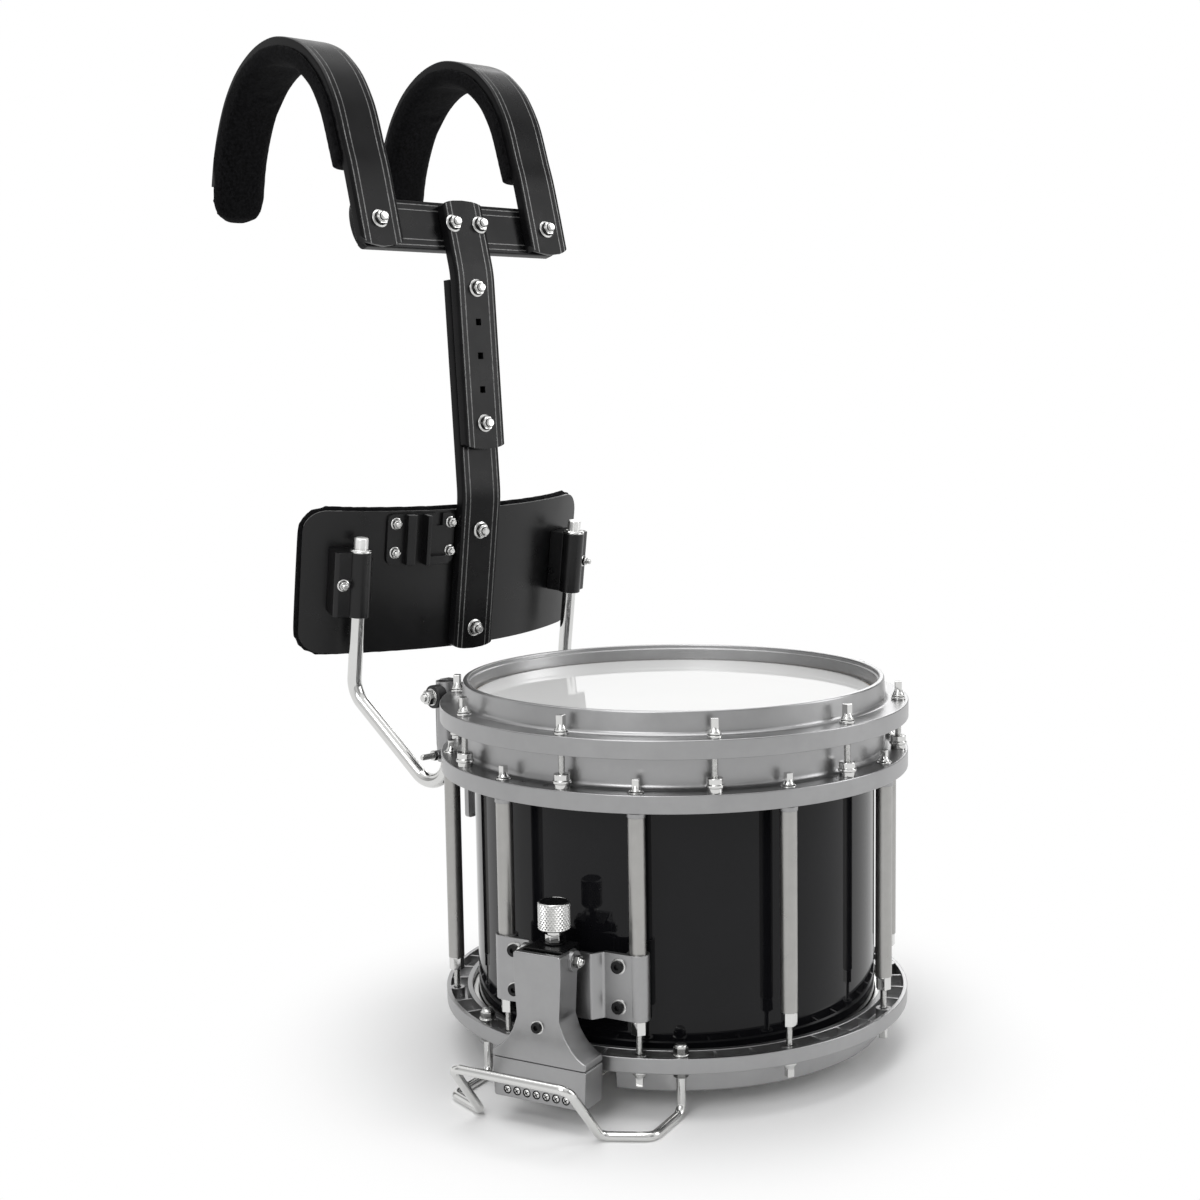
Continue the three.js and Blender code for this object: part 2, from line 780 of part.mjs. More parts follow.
for (let i = 0; i < stationCount; i += 1) {
  const angle = tubeStart + i * stationAngle;
  const seat = [frameRingFoot, frameRingTop - frameRingPlate / 2];
  frameFeatures.push(post(tubeSeatRadius, ...seat, bossFacets, ...onCircle(tubeCircle, angle), angle));
  frameFeatures.push(turnedAboutZ(receiver, rodStart + i * stationAngle));
}
[-sightHoleTurn, sightHoleTurn].forEach((turn) => {
  const angle = rodStart - stationAngle / 2 + turn;
  const place = onCircle(frameRingRadius - sightHoleInset, angle);
  const heights = [frameRingTop - frameRingPlate - overrun, frameRingTop + overrun];
  sightHoles.push(post(sightHoleRadius, ...heights, rodFacets, ...place));
});
const receiverBottom = frameRingTop + receiverHeight - rodEngagement;
const frameRing = cut(
  join(revolve(frameRingProfile), ...frameFeatures),
  ...rodHoles(rodCircle, rodStart, receiverBottom, frameRingTop + receiverHeight + overrun),
  ...rodHoles(tubeCircle, tubeStart, frameRingFoot - overrun, frameRingTop + overrun),
  ...sightHoles,
);
addMesh(drum, 'frame_ring', frameRing, castGrey);

// Batter tension rods: square key head over a stepped washer pair, down into a receiver.
const rodSeat = flangeHeight + clearance;
const squareFacets = 4;
const squareTurn = Math.PI / squareFacets;
const keyHeadRadius = keyHeadWidth / Math.SQRT2;
const upperWasherSeat = rodSeat + collarWasherHeight;
const batterKeySeat = upperWasherSeat + upperWasherHeight;
const batterRod = join(
  post(rodRadius, receiverBottom + clearance, batterKeySeat + overrun, rodFacets),
  post(collarWasherRadius, rodSeat, upperWasherSeat, tubeFacets),
  post(upperWasherRadius, upperWasherSeat - overrun, batterKeySeat, tubeFacets),
  post(keyHeadRadius, batterKeySeat - overrun, batterKeySeat + keyHeadHeight,
    squareFacets, 0, 0, squareTurn),
);
addRing(drum, 'batter_rod', batterRod, chrome, rodCircle, rodStart);

// Lug tubes: collar at the top, hexagon insert at the foot, and the key screw that
// holds each of them to the frame ring.
const tubeTop = frameRingFoot - clearance;
const screwSeat = frameRingTop + clearance;
const screwHeadSeat = screwSeat + tubeScrewWasherHeight;
const hexRadius = hexAcross / Math.sqrt(3);
const hexFoot = tubeFoot - hexHeight;
const hexFacets = 6;
const lugTube = cut(
  join(
    post(tubeRadius, tubeFoot, tubeTop, tubeFacets),
    post(tubeCollarRadius, tubeTop - tubeCollarHeight, tubeTop, tubeFacets),
    post(hexRadius, hexFoot, tubeFoot + overrun, hexFacets),
    post(rodRadius, tubeTop - overrun, screwHeadSeat, rodFacets),
    post(tubeScrewWasherRadius, screwSeat, screwHeadSeat, tubeFacets),
    post(keyHeadRadius, screwHeadSeat - tubeScrewWasherHeight / 2, screwHeadSeat + tubeScrewHead,
      squareFacets, 0, 0, squareTurn),
  ),
  post(bore(rodRadius, rodFacets), hexFoot - overrun, hexFoot + rodEngagement, rodFacets),
);
addRing(drum, 'lug_tube', lugTube, tubeGrey, tubeCircle, tubeStart);

// Lower tension rods: key heads below the hoop, threaded ends up in the tubes' inserts.
const lowerSeat = -lowerFlangeDepth - clearance;
const lowerKeySeat = lowerSeat - lowerWasherHeight;
const snareRod = join(
  post(rodRadius, lowerKeySeat - overrun, hexFoot + rodEngagement - clearance, rodFacets),
  post(collarWasherRadius, lowerKeySeat, lowerSeat, tubeFacets),
  post(keyHeadRadius, lowerKeySeat - lowerKeyHeadHeight, lowerKeySeat + overrun,
    squareFacets, 0, 0, squareTurn),
);
addRing(drum, 'snare_rod', snareRod, chrome, tubeCircle, tubeStart);

// Clamp plate on two lug tubes, for the strainer at -X and turned round for the butt.
const clampTop = clampFoot + clampHeight;
const [tubeX, tubeY] = onCircle(tubeCircle, stationAngle / 2);
const plateInner = tubeX + clampBossRadius - clampPlate;
const plateOuter = tubeX + clampBossRadius;
const platePath = [
  [tubeY, 0], [clampStepOuter, 0], [clampStepInner, clampStep],
  [-clampStepInner, clampStep], [-clampStepOuter, 0], [-tubeY, 0],
];
const plateOutline = [
  ...platePath.map(([y, step]) => [-(plateOuter + step), y]),
  ...[...platePath].reverse().map(([y, step]) => [-(plateInner + step), y]),
];
const clampHeights = [clampFoot, clampTop];
const tubeBore = [-tubeY, tubeY].map((y) => post(
  bore(tubeRadius, tubeFacets), clampFoot - overrun, clampTop + overrun, tubeFacets, -tubeX, y,
));
const clampScrews = [];
const clampSockets = [];
[-clampScrewOffset, clampScrewOffset].forEach((y) => {
  [clampScrewLow, clampScrewHigh].forEach((z) => {
    const face = -plateOuter - socketHeadHeight;
    clampScrews.push(cylinderBetween([-plateOuter + overrun, y, z], [face, y, z],
      socketHeadRadius, screwFacets));
    clampSockets.push(cylinderBetween([face + socketDepth, y, z], [face - overrun, y, z],
      socketRadius, hexFacets));
  });
});
const clampBody = join(
  prismZ(plateOutline, ...clampHeights),
  ...[-tubeY, tubeY].map((y) => post(clampBossRadius, ...clampHeights, tubeFacets, -tubeX, y)),
  ...clampScrews,
);
const plateFace = plateOuter + clampStep;

// Strainer mount: the clamp plate with the pivot block and the pivot bolt through it.
const pivotSpan = armHalfWidth + armEarBoss + clearance;
const boltEnd = -pivotSpan - pivotNutHeight;
const strainerMount = cut(
  join(
    clampBody,
    box([-pivotBlockFront, -plateFace + clampPlate / 2], [-pivotBlockHalfWidth, pivotBlockHalfWidth],
      [pivotBlockTop - pivotBlockHeight, pivotBlockTop]),
    cylinderBetween([-pivotCircle, boltEnd, pivotHeight], [-pivotCircle, pivotSpan, pivotHeight],
      pivotRadius, rodFacets),
    cylinderBetween([-pivotCircle, -pivotSpan, pivotHeight], [-pivotCircle, boltEnd, pivotHeight],
      pivotNutRadius, hexFacets),
    cylinderBetween([-pivotCircle, boltEnd, pivotHeight],
      [-pivotCircle, boltEnd - pivotDomeHeight, pivotHeight], pivotDomeRadius, rodFacets),
    cylinderBetween([-pivotCircle, pivotSpan, pivotHeight],
      [-pivotCircle, pivotSpan + pivotNutHeight, pivotHeight], pivotNutRadius, rodFacets),
  ),
  ...tubeBore,
  ...clampSockets,
);
addMesh(drum, 'strainer_mount', strainerMount, castGrey);

// Throw arm: narrow top between the ears, waist, then a flare to the strand block's width.
const flareHeight = armFootTop - armFootHeight;
const flareReach = armFootHalfWidth - armWaistHalfWidth;
const armSide = [
  [armFootHalfWidth, armSeam], [armFootHalfWidth, armFootHeight],
  ...[...armFlareShares].reverse().map(([out, up]) => [
    armWaistHalfWidth + flareReach * out, armFootHeight + flareHeight * up,
  ]).slice(1),
  [armHalfWidth, pivotHeight - armEarRadius], [armHalfWidth, armTop],
];
const armOutline = [...armSide, ...[...armSide].reverse().map(([y, z]) => [-y, z])];
const armBack = armFront - armDepth;
const armHollowHalf = pivotBlockHalfWidth + clearance;
const armEars = [-1, 1].map((side) => cylinderBetween(
  [-pivotCircle, side * (armHalfWidth - overrun), pivotHeight],
  [-pivotCircle, side * (armHalfWidth + armEarBoss), pivotHeight], armEarRadius, tubeFacets,
));
const throwArm = cut(
  join(prismX(armOutline, -armFront, -armBack), ...armEars,
    cylinderBetween([-armFront + overrun, 0, armScrewHeight],
      [-armFront - socketHeadHeight, 0, armScrewHeight], socketHeadRadius, screwFacets)),
  box([-armFront + armWall, -armBack + overrun], [-armHollowHalf, armHollowHalf],
    [armHollowFoot, armTop + overrun]),
  cylinderBetween([-pivotCircle, -pivotSpan - overrun, pivotHeight],
    [-pivotCircle, pivotSpan + overrun, pivotHeight], bore(pivotRadius, rodFacets), rodFacets),
  cylinderBetween([-armFront - socketHeadHeight + socketDepth, 0, armScrewHeight],
    [-armFront - socketHeadHeight - overrun, 0, armScrewHeight], socketRadius, hexFacets),
);
addMesh(drum, 'throw_arm', throwArm, castGrey);

// Strand block: tapered box under the arm, slotted towards the drum for the strand bar.
const blockTop = armSeam - clearance;
const blockFoot = blockTop - strandBlockHeight;
const blockOutline = [
  [armFootHalfWidth, blockTop], [armFootHalfWidth - strandBlockTaper, blockFoot],
  [-armFootHalfWidth + strandBlockTaper, blockFoot], [-armFootHalfWidth, blockTop],
];
const strandScrews = [];
for (let i = 0; i < strandScrewCount; i += 1) {
  const y = (i - (strandScrewCount - 1) / 2) * strandScrewPitch;
  const z = blockFoot + strandScrewRise;
  strandScrews.push(cylinderBetween([-armFront + overrun, y, z], [-armFront - strandScrewHeight, y, z],
    strandScrewRadius, rodFacets));
}
const strandBlock = cut(
  join(prismX(blockOutline, -armFront, -armBack), ...strandScrews),
  box([-armBack - strandSlotDepth, -armBack + overrun], [-strandSlotHalfWidth, strandSlotHalfWidth],
    [blockFoot + strandSlotFloor, blockFoot + strandSlotFloor + strandSlotHeight]),
);
addMesh(drum, 'strand_block', strandBlock, castGrey);

// Tension knob on its stem above the pivot block.
const stemFoot = pivotBlockTop + clearance;
const knobFoot = stemFoot + knobStemHeight;
const knobProfile = [
  [0, stemFoot], [knobStemRadius, stemFoot], [knobStemRadius, knobFoot],
  [knobRadius - knobEdge, knobFoot], [knobRadius, knobFoot + knobEdge],
  [knobRadius, knobFoot + knobHeight - knobEdge], [knobRadius - knobEdge, knobFoot + knobHeight],
  [0, knobFoot + knobHeight],
];
const knob = addMesh(drum, 'tension_knob', revolve(knobProfile, knobFacets), chrome);
knob.position.x = -knobCircle;

// Snare strands: a bar at each end and the wires between them, under the lower head.
const strandFoot = -snareHeadDrop - clearance - strandWidth;
const barHalf = (strandCount - 1) * strandPitch / 2 + strandWidth;
const strandParts = [-1, 1].map((side) => {
  const ends = [side * strandReach, side * (strandReach - strandBarLength)].sort((a, b) => a - b);
  const middle = strandFoot + strandWidth / 2;
  return box(ends, [-barHalf, barHalf], [middle - strandBarHeight / 2, middle + strandBarHeight / 2]);
});
for (let i = 0; i < strandCount; i += 1) {
  const y = (i - (strandCount - 1) / 2) * strandPitch;
  const reach = strandReach - strandBarLength / 2;
  strandParts.push(box([-reach, reach], [y - strandWidth / 2, y + strandWidth / 2],
    [strandFoot, strandFoot + strandWidth]));
}
addMesh(drum, 'snare_strands', join(...strandParts), wire);

// Butt plate: the same clamp on the far side, with a neck down to the strand clamp.
const buttInner = lowerFlangeRadius + clearance;
const buttFace = strandReach + clearance + strandSlotFloor;
const buttFoot = blockFoot;
const buttBlock = cut(
  box([-buttFace, -buttInner], [-buttBlockHalfWidth, buttBlockHalfWidth], [buttFoot, buttBlockTop]),
  box([-buttFace + strandSlotFloor, -buttInner + overrun],
    [-strandSlotHalfWidth, strandSlotHalfWidth],
    [buttFoot + strandSlotFloor, buttFoot + strandSlotFloor + strandSlotHeight]),
);
const buttPlate = turnedAboutZ(cut(
  join(
    clampBody,
    box([-plateFace - buttNeckDepth, -plateFace + clampPlate], [-buttNeckHalfWidth, buttNeckHalfWidth],
      [clearance, clampTop - clampPlate]),
    buttBlock,
  ),
  ...tubeBore,
  ...clampSockets,
), Math.PI);
addMesh(drum, 'butt_plate', buttPlate, castGrey);

// Wire bails: from a leg through the lower hoop, along the floor, up and across in front.
const [legX, legY] = onCircle(bailLegCircle, bailLegAngle);
function bail() {
  const half = [
    [-legX, legY, bailTipHeight], [-legX, legY, -bailFloor],
    [-bailShoulderReach, bailShoulderHalfWidth, -bailFloor], [-bailToeReach, bailToeHalfWidth, -bailFloor],
    [-armFront - bailBarOut, bailBarHalfWidth, bailBarHeight],
  ];
  const points = [...half, ...[...half].reverse().map(([x, y, z]) => [x, -y, z])];
  const stations = bentPath(points, points.slice(2).map(() => bailBend), Math.PI / 4);
  const wireRod = rodAlong(stations, bailWireRadius, bailFacets);
  const fittings = [-legY, legY].flatMap((y) => {
    const top = clearance;
    const nutTop = top + bailNutHeight;
    const below = -lowerFlangeDepth - clearance;
    const nutRadius = bailNutAcross / Math.sqrt(3);
    return [
      post(nutRadius, top, nutTop, hexFacets, -legX, y),
      post(nutRadius, below - bailNutHeight, below, hexFacets, -legX, y),
    ];
  });
  return join(wireRod, ...fittings);
}
const bailSolid = bail();
addMesh(drum, 'strainer_bail', bailSolid, chrome);
addMesh(drum, 'butt_bail', turnedAboutZ(bailSolid, Math.PI), chrome);

// Carrier strips. A strip's side line runs through [y, z] points on its front face.
function sideNormals(line) {
  return line.map((point, i) => {
    const before = line[Math.max(i - 1, 0)];
    const after = line[Math.min(i + 1, line.length - 1)];
    const along = new THREE.Vector2(after[0] - before[0], after[1] - before[1]).normalize();
    return [along.y, -along.x];
  });
}

function offsetLine(line, depth) {
  const normals = sideNormals(line);
  return line.map(([y, z], i) => [y + normals[i][0] * depth, z + normals[i][1] * depth]);
}

function ribbon(line, front, back, low, high) {
  return prismX([...offsetLine(line, front), ...offsetLine(line, back).reverse()], low, high);
}

// A channel strip on a side line: full-width face with a flange along each edge behind it.
function strip(line, centre) {
  const low = centre - stripWidth / 2;
  const high = centre + stripWidth / 2;
  return join(
    ribbon(line, 0, stripFace, low, high),
    ribbon(line, 0, stripDepth, low, low + stripFlange),
    ribbon(line, 0, stripDepth, high - stripFlange, high),
  );
}

// Front outline of a strip with one or both ends rounded, as an extrusion to intersect with.
function endOutline(centre, foot, top, footRounding, topRounding, depths) {
  const half = stripWidth / 2;
  const bow = (share) => 1 - Math.sqrt(Math.max(0, 1 - share * share * 0.98));
  const lowSide = endArcShares.map((s) => [centre + half * s, foot + footRounding * bow(s)]);
  const highSide = [...endArcShares].reverse().map((s) => [centre + half * s, top - topRounding * bow(s)]);
  return prismY([...lowSide, ...highSide], ...depths);
}

// Bolt end on a strip's front face: flange washer, hexagon nut and the bolt's tip.
function boltHead(x, y, z, lean, share = 1) {
  const out = new THREE.Vector3(0, -Math.cos(lean), Math.sin(lean));
  const seat = new THREE.Vector3(x, y, z);
  const at = (distance) => seat.clone().addScaledVector(out, distance).toArray();
  const sunk = -stripFace / 2;
  const nutTop = (boltWasherHeight + boltNutHeight) * share;
  return join(
    cylinderBetween(at(sunk), at(boltWasherHeight * share), boltWasherRadius * share, screwFacets),
    cylinderBetween(at(sunk), at(nutTop), boltNutRadius * share, hexFacets),
    cylinderBetween(at(nutTop - boltWasherHeight * share), at(nutTop + boltTipHeight * share),
      boltTipRadius * share, hexFacets),
  );
}

const spineBendHeight = spineTop - headLength;
const topHoleHeight = spineBendHeight - topBoltDrop;
const spineFoot = topHoleHeight - (holeCount - 1) * holePitch - spineFootMargin;
const lowerSpineTop = spineBendHeight - lowerSpineTopDrop;
const crossbarHeight = spineTop - crossbarDrop;
const barBoltHeight = crossbarHeight + barBoltRise;
const strapFoot = crossbarHeight - strapFootDrop;
const leanAngle = Math.atan(headLean);
const straightAngle = Math.atan(spineLean);
const spineFrontAt = (z) => spineFootSetback + spineLean * (z - spineFoot);
const bendMiddle = spineBendHeight + spineBendLength / 2;
const headFrontAt = (z) => spineFrontAt(bendMiddle) + headLean * (z - bendMiddle);
const bendLow = spineBendHeight;
const bendHigh = spineBendHeight + spineBendLength;
const bendEase = (headLean - spineLean) * spineBendLength / 8;
const stripStack = stripDepth + stripSeat;
const stripDepths = [spineFootSetback - stripStack, spineFootSetback + strapReach];

// Upper spine strip with its row of square holes, bent back to meet the crossbar.
const upperSpineLine = [
  [spineFrontAt(spineFoot), spineFoot], [spineFrontAt(bendLow), bendLow],
  [spineFrontAt(bendMiddle) + bendEase, bendMiddle],
  [headFrontAt(bendHigh), bendHigh], [headFrontAt(spineTop), spineTop],
];
const spineHoles = [];
for (let i = 1; i < holeCount - 1; i += 1) {
  const z = topHoleHeight - i * holePitch;
  const front = spineFrontAt(z);
  spineHoles.push(prismY(squareOn(squareHole, 0, z), front - stripDepth, front + stripDepth));
}
const upperSpine = join(
  cut(
    strip(upperSpineLine, 0).intersect(
      endOutline(0, spineFoot, spineTop, endRounding, endRounding, stripDepths),
    ),
    ...spineHoles,
  ),
  ...[0, holeCount - 1].map((i) => {
    const z = topHoleHeight - i * holePitch;
    const lean = z > bendLow ? (leanAngle + straightAngle) / 2 : straightAngle;
    return boltHead(0, spineFrontAt(z), z, lean);
  }),
  ...[-crossbarBoltSpread, crossbarBoltSpread].map((x) => (
    boltHead(x, headFrontAt(barBoltHeight), barBoltHeight, leanAngle)
  )),
);
addMesh(carrier, 'spine_upper', upperSpine, satinBlack);

// Lower spine strip: parallel behind the upper one, then forward and down over the belly plate.
const backAngle = Math.tan(bellyLean);
const lowerFrontAt = (z) => spineFrontAt(z) + stripStack * Math.hypot(1, spineLean);
const kneeLow = kneeHeight - kneeLength;
const kneeMiddle = kneeHeight - kneeLength / 2;
const kneeLine = (z) => lowerFrontAt(kneeMiddle) + backAngle * (kneeMiddle - z);
const kneeEase = (backAngle + spineLean) * kneeLength / 8;
const lowerSpineLine = [
  [kneeLine(lowerSpineFoot), lowerSpineFoot], [kneeLine(kneeLow), kneeLow],
  [lowerFrontAt(kneeMiddle) + kneeEase, kneeMiddle],
  [lowerFrontAt(kneeHeight), kneeHeight], [lowerFrontAt(lowerSpineTop), lowerSpineTop],
];
const plateBoltRises = [bellyTopRise * upperBoltShare, -bellyFootDrop * lowerBoltShare];
const lowerSpine = join(
  strip(lowerSpineLine, 0).intersect(
    endOutline(0, lowerSpineFoot, lowerSpineTop, endRounding, 0, stripDepths),
  ),
  ...plateBoltRises.map((rise) => {
    const z = bellyHeight + rise;
    return boltHead(0, kneeLine(z), z, -bellyLean);
  }),
);
addMesh(carrier, 'spine_lower', lowerSpine, satinBlack);

// Crossbar behind the spine's head and the straps' feet.
const barDrop = stripWidth / 2 * Math.cos(leanAngle);
const barFront = (z) => headFrontAt(z) + stripStack / Math.cos(leanAngle);
const barFlange = stripFlange * Math.cos(leanAngle);
const barLow = crossbarHeight - barDrop;
const barHigh = crossbarHeight + barDrop;
const padFrontHeight = barHigh + padFrontRise;
const barSection = (low, high, depth) => ribbon(
  [[barFront(low), low], [barFront(high), high]], 0, depth, -crossbarHalfLength, crossbarHalfLength,
);
const cornerX = crossbarHalfLength - crossbarCornerLength;
const barOutline = prismY([
  [-cornerX, barLow - overrun], [cornerX, barLow - overrun],
  [crossbarHalfLength, barLow + crossbarCornerHeight], [crossbarHalfLength, barHigh + overrun * 2],
  [-crossbarHalfLength, barHigh + overrun * 2], [-crossbarHalfLength, barLow + crossbarCornerHeight],
], ...stripDepths);
const crossbar = join(
  barSection(barLow, barHigh, stripFace),
  barSection(barLow, barLow + barFlange, stripDepth),
  barSection(barHigh - barFlange, barHigh, stripDepth),
).intersect(barOutline);
addMesh(carrier, 'crossbar', crossbar, satinBlack);

// Shoulder straps: the same strip, up from the crossbar and over the shoulder.
const strapFront = headFrontAt(strapFoot);
const strapLine = strapCurveShares.map(([y, z]) => [strapFront + strapReach * y, strapFoot + strapRise * z]);
const strapDepths = [strapFront - stripStack, strapFront + strapReach + stripDepth];
const strapTop = strapFoot + strapRise + stripDepth;
function shoulderStrap(side) {
  const centre = side * strapSpread;
  const body = strip(strapLine, centre).intersect(
    endOutline(centre, strapFoot, strapTop, strapFootRounding, 0, strapDepths),
  );
  return join(body, boltHead(centre, headFrontAt(barBoltHeight), barBoltHeight, leanAngle));
}

// Shoulder pads: foam lofted inside the strap's curve, crowned towards the shoulder.
function shoulderPad(side) {
  const centre = side * strapSpread;
  const depth = stripDepth + clearance + padThickness / 2;
  const inner = offsetLine(strapLine, depth);
  const outer = strapLine;
  const line = [];
  inner.forEach((point, i) => {
    if (outer[i][1] >= padFrontHeight || outer[i][0] > strapFront + strapReach / 2) {
      line.push([point, [outer[i][0] - point[0], outer[i][1] - point[1]]]);
    }
  });
  const tail = line[line.length - 1];
  const before = line[line.length - 2];
  const run = new THREE.Vector2(tail[0][0] - before[0][0], tail[0][1] - before[0][1]).normalize();
  padRearShares.slice(1).forEach((share, i) => {
    const reach = padRearDrop * (i + 1) / (padRearShares.length - 1);
    line.push([[tail[0][0] + run.x * reach, tail[0][1] + run.y * reach], tail[1]]);
  });
  const lead = line[0];
  const runIn = new THREE.Vector2(line[1][0][0] - lead[0][0], line[1][0][1] - lead[0][1]).normalize();
  const leadIn = padThickness / 4;
  line.unshift([[lead[0][0] - runIn.x * leadIn, lead[0][1] - runIn.y * leadIn], lead[1]]);
  const rings = line.map(([point, out], i) => {
    const fromRear = line.length - 1 - i;
    let size = [1, 1];
    if (i === 0) [size] = padFrontShares;
    if (fromRear < padRearShares.length) size = padRearShares[padRearShares.length - 1 - fromRear];
    const length = Math.hypot(out[0], out[1]);
    const flat = (1 - size[1]) * padThickness / 2;
    return padSectionShares.map(([w, t]) => {
      const rise = t * padThickness * size[1] + flat;
      return new THREE.Vector3(
        centre + w * padWidth * size[0],
        point[0] + out[0] / length * rise,
        point[1] + out[1] / length * rise,
      );
    });
  });
  return loft(rings);
}

[[-1, 'left'], [1, 'right']].forEach(([side, word]) => {
  addMesh(carrier, `shoulder_strap_${word}`, shoulderStrap(side), satinBlack);
  addMesh(carrier, `shoulder_pad_${word}`, shoulderPad(side), foam);
});

// Belly plate group, leaning back towards the player at its foot.
// Inside it the plate's front face passes through the origin.
const back = new THREE.Group();
const plateSeat = kneeLine(bellyHeight) + stripStack / Math.cos(bellyLean);
back.position.set(0, plateSeat, bellyHeight);
back.rotation.x = bellyLean;
carrier.add(back);

const bellySweep = Math.asin(bellyHalfLength / bellyRadius);
const bellySteps = 16;
function bellyPoint(angle, depth) {
  const r = bellyRadius - depth;
  return [r * Math.sin(angle), bellyRadius - r * Math.cos(angle)];
}

// A band that follows the plate's curve between two sweep angles and two depths.
function bellyBand(from, to, front, rear, low, high, steps) {
  const angles = Array.from({ length: steps + 1 }, (_, i) => from + (to - from) * i / steps);
  const outline = [
    ...angles.map((a) => bellyPoint(a, front)),
    ...[...angles].reverse().map((a) => bellyPoint(a, rear)),
  ];
  return prismZ(outline, low, high);
}

const cornerSteps = 4;
function roundedRectangle(halfWidth, low, high, radius) {
  const points = [];
  const centres = [
    [halfWidth - radius, low + radius, -Math.PI / 2], [halfWidth - radius, high - radius, 0],
    [-halfWidth + radius, high - radius, Math.PI / 2], [-halfWidth + radius, low + radius, Math.PI],
  ];
  centres.forEach(([x, z, start]) => {
    for (let k = 0; k <= cornerSteps; k += 1) {
      const angle = start + Math.PI / 2 * k / cornerSteps;
      points.push([x + radius * Math.cos(angle), z + radius * Math.sin(angle)]);
    }
  });
  return points;
}

const bellyDepth = bellyPoint(bellySweep, 0)[1];
const bellyPlateSolid = bellyBand(
  -bellySweep, bellySweep, 0, bellyPlate, -bellyFootDrop, bellyTopRise, bellySteps,
).intersect(prismY(roundedRectangle(bellyHalfLength, -bellyFootDrop, bellyTopRise, bellyCorner),
    -overrun, bellyDepth + bellyPlate + overrun));
addMesh(back, 'belly_plate', bellyPlateSolid, satinBlack);

// Belly pad: foam lofted along the plate's back, crowned and rounded at its ends.
const padSweep = bellySweep + bellyPadOverhang / bellyRadius;
const padMiddleZ = (bellyTopRise - bellyFootDrop) / 2;
const padHeight = bellyTopRise + bellyFootDrop + 2 * bellyPadOverhang;
const padRings = [];
for (let i = 0; i <= bellySteps; i += 1) {
  const share = Math.min(i, bellySteps - i);
  const [tall, thick] = bellyPadEndShares[share] ?? [1, 1];
  const reachShares = [0, 0.35, 1.4];
  const shift = reachShares[share] ?? share;
  const end = i <= bellySteps / 2 ? shift / bellySteps : 1 - shift / bellySteps;
  const angle = -padSweep + 2 * padSweep * end;
  const front = bellyPlate + clearance;
  const middle = front + bellyPadThickness / 2;
  padRings.push(padSectionShares.map(([w, t]) => {
    const lift = t * bellyPadThickness * thick + (1 - thick) * bellyPadThickness / 2;
    const [x, y] = bellyPoint(angle, middle - lift);
    return new THREE.Vector3(x, y, padMiddleZ - w * padHeight * tall);
  }));
}
addMesh(back, 'belly_pad', loft(padRings), foam);

// Rod blocks: a bore for the J-rod on a neck from the plate, and a clamping ear outwards.
const blockTurn = Math.asin(rodBlockSpread / Math.hypot(rodBlockSpread,
  bellyRadius * Math.cos(Math.asin(rodBlockSpread / (bellyRadius + rodBlockStandoff)))));
const rodLocalY = bellyRadius - (bellyRadius + rodBlockStandoff) * Math.cos(blockTurn);
const rodLocalX = (bellyRadius + rodBlockStandoff) * Math.sin(blockTurn);
const blockHeights = [-rodBlockFootDrop, rodBlockTopRise];
const blockMiddle = (rodBlockTopRise - rodBlockFootDrop) / 2;
const plateSide = rodBlockStandoff - clearance;
const earFront = plateSide - rodBlockEarDepth;
const blockBase = join(
  post(rodBlockRadius, ...blockHeights, tubeFacets),
  box([-rodBlockNeckHalfWidth, rodBlockNeckHalfWidth], [0, plateSide], blockHeights),
  box([0, rodBlockEar], [earFront, plateSide - clearance], blockHeights),
  boltHead(rodBlockBoltOffset, earFront, blockMiddle, 0, smallBoltShare),
);
const blockCut = cut(
  blockBase,
  post(bore(jRodRadius, tubeFacets), -rodBlockFootDrop - overrun, rodBlockTopRise + overrun, tubeFacets),
);
const blockPlaced = moved(
  blockCut,
  new THREE.Matrix4().makeTranslation(rodLocalX, rodLocalY, 0)
    .multiply(new THREE.Matrix4().makeRotationZ(blockTurn)),
);
const plateKeepOut = bellyBand(-bellySweep, bellySweep, -clearance, bellyPlate, -bellyFootDrop, bellyTopRise,
  bellySteps);
const rodBlock = cut(blockPlaced, plateKeepOut);
addMesh(back, 'j_rod_block_right', rodBlock, satinBlack);
addMesh(back, 'j_rod_block_left', mirrored(rodBlock), satinBlack);

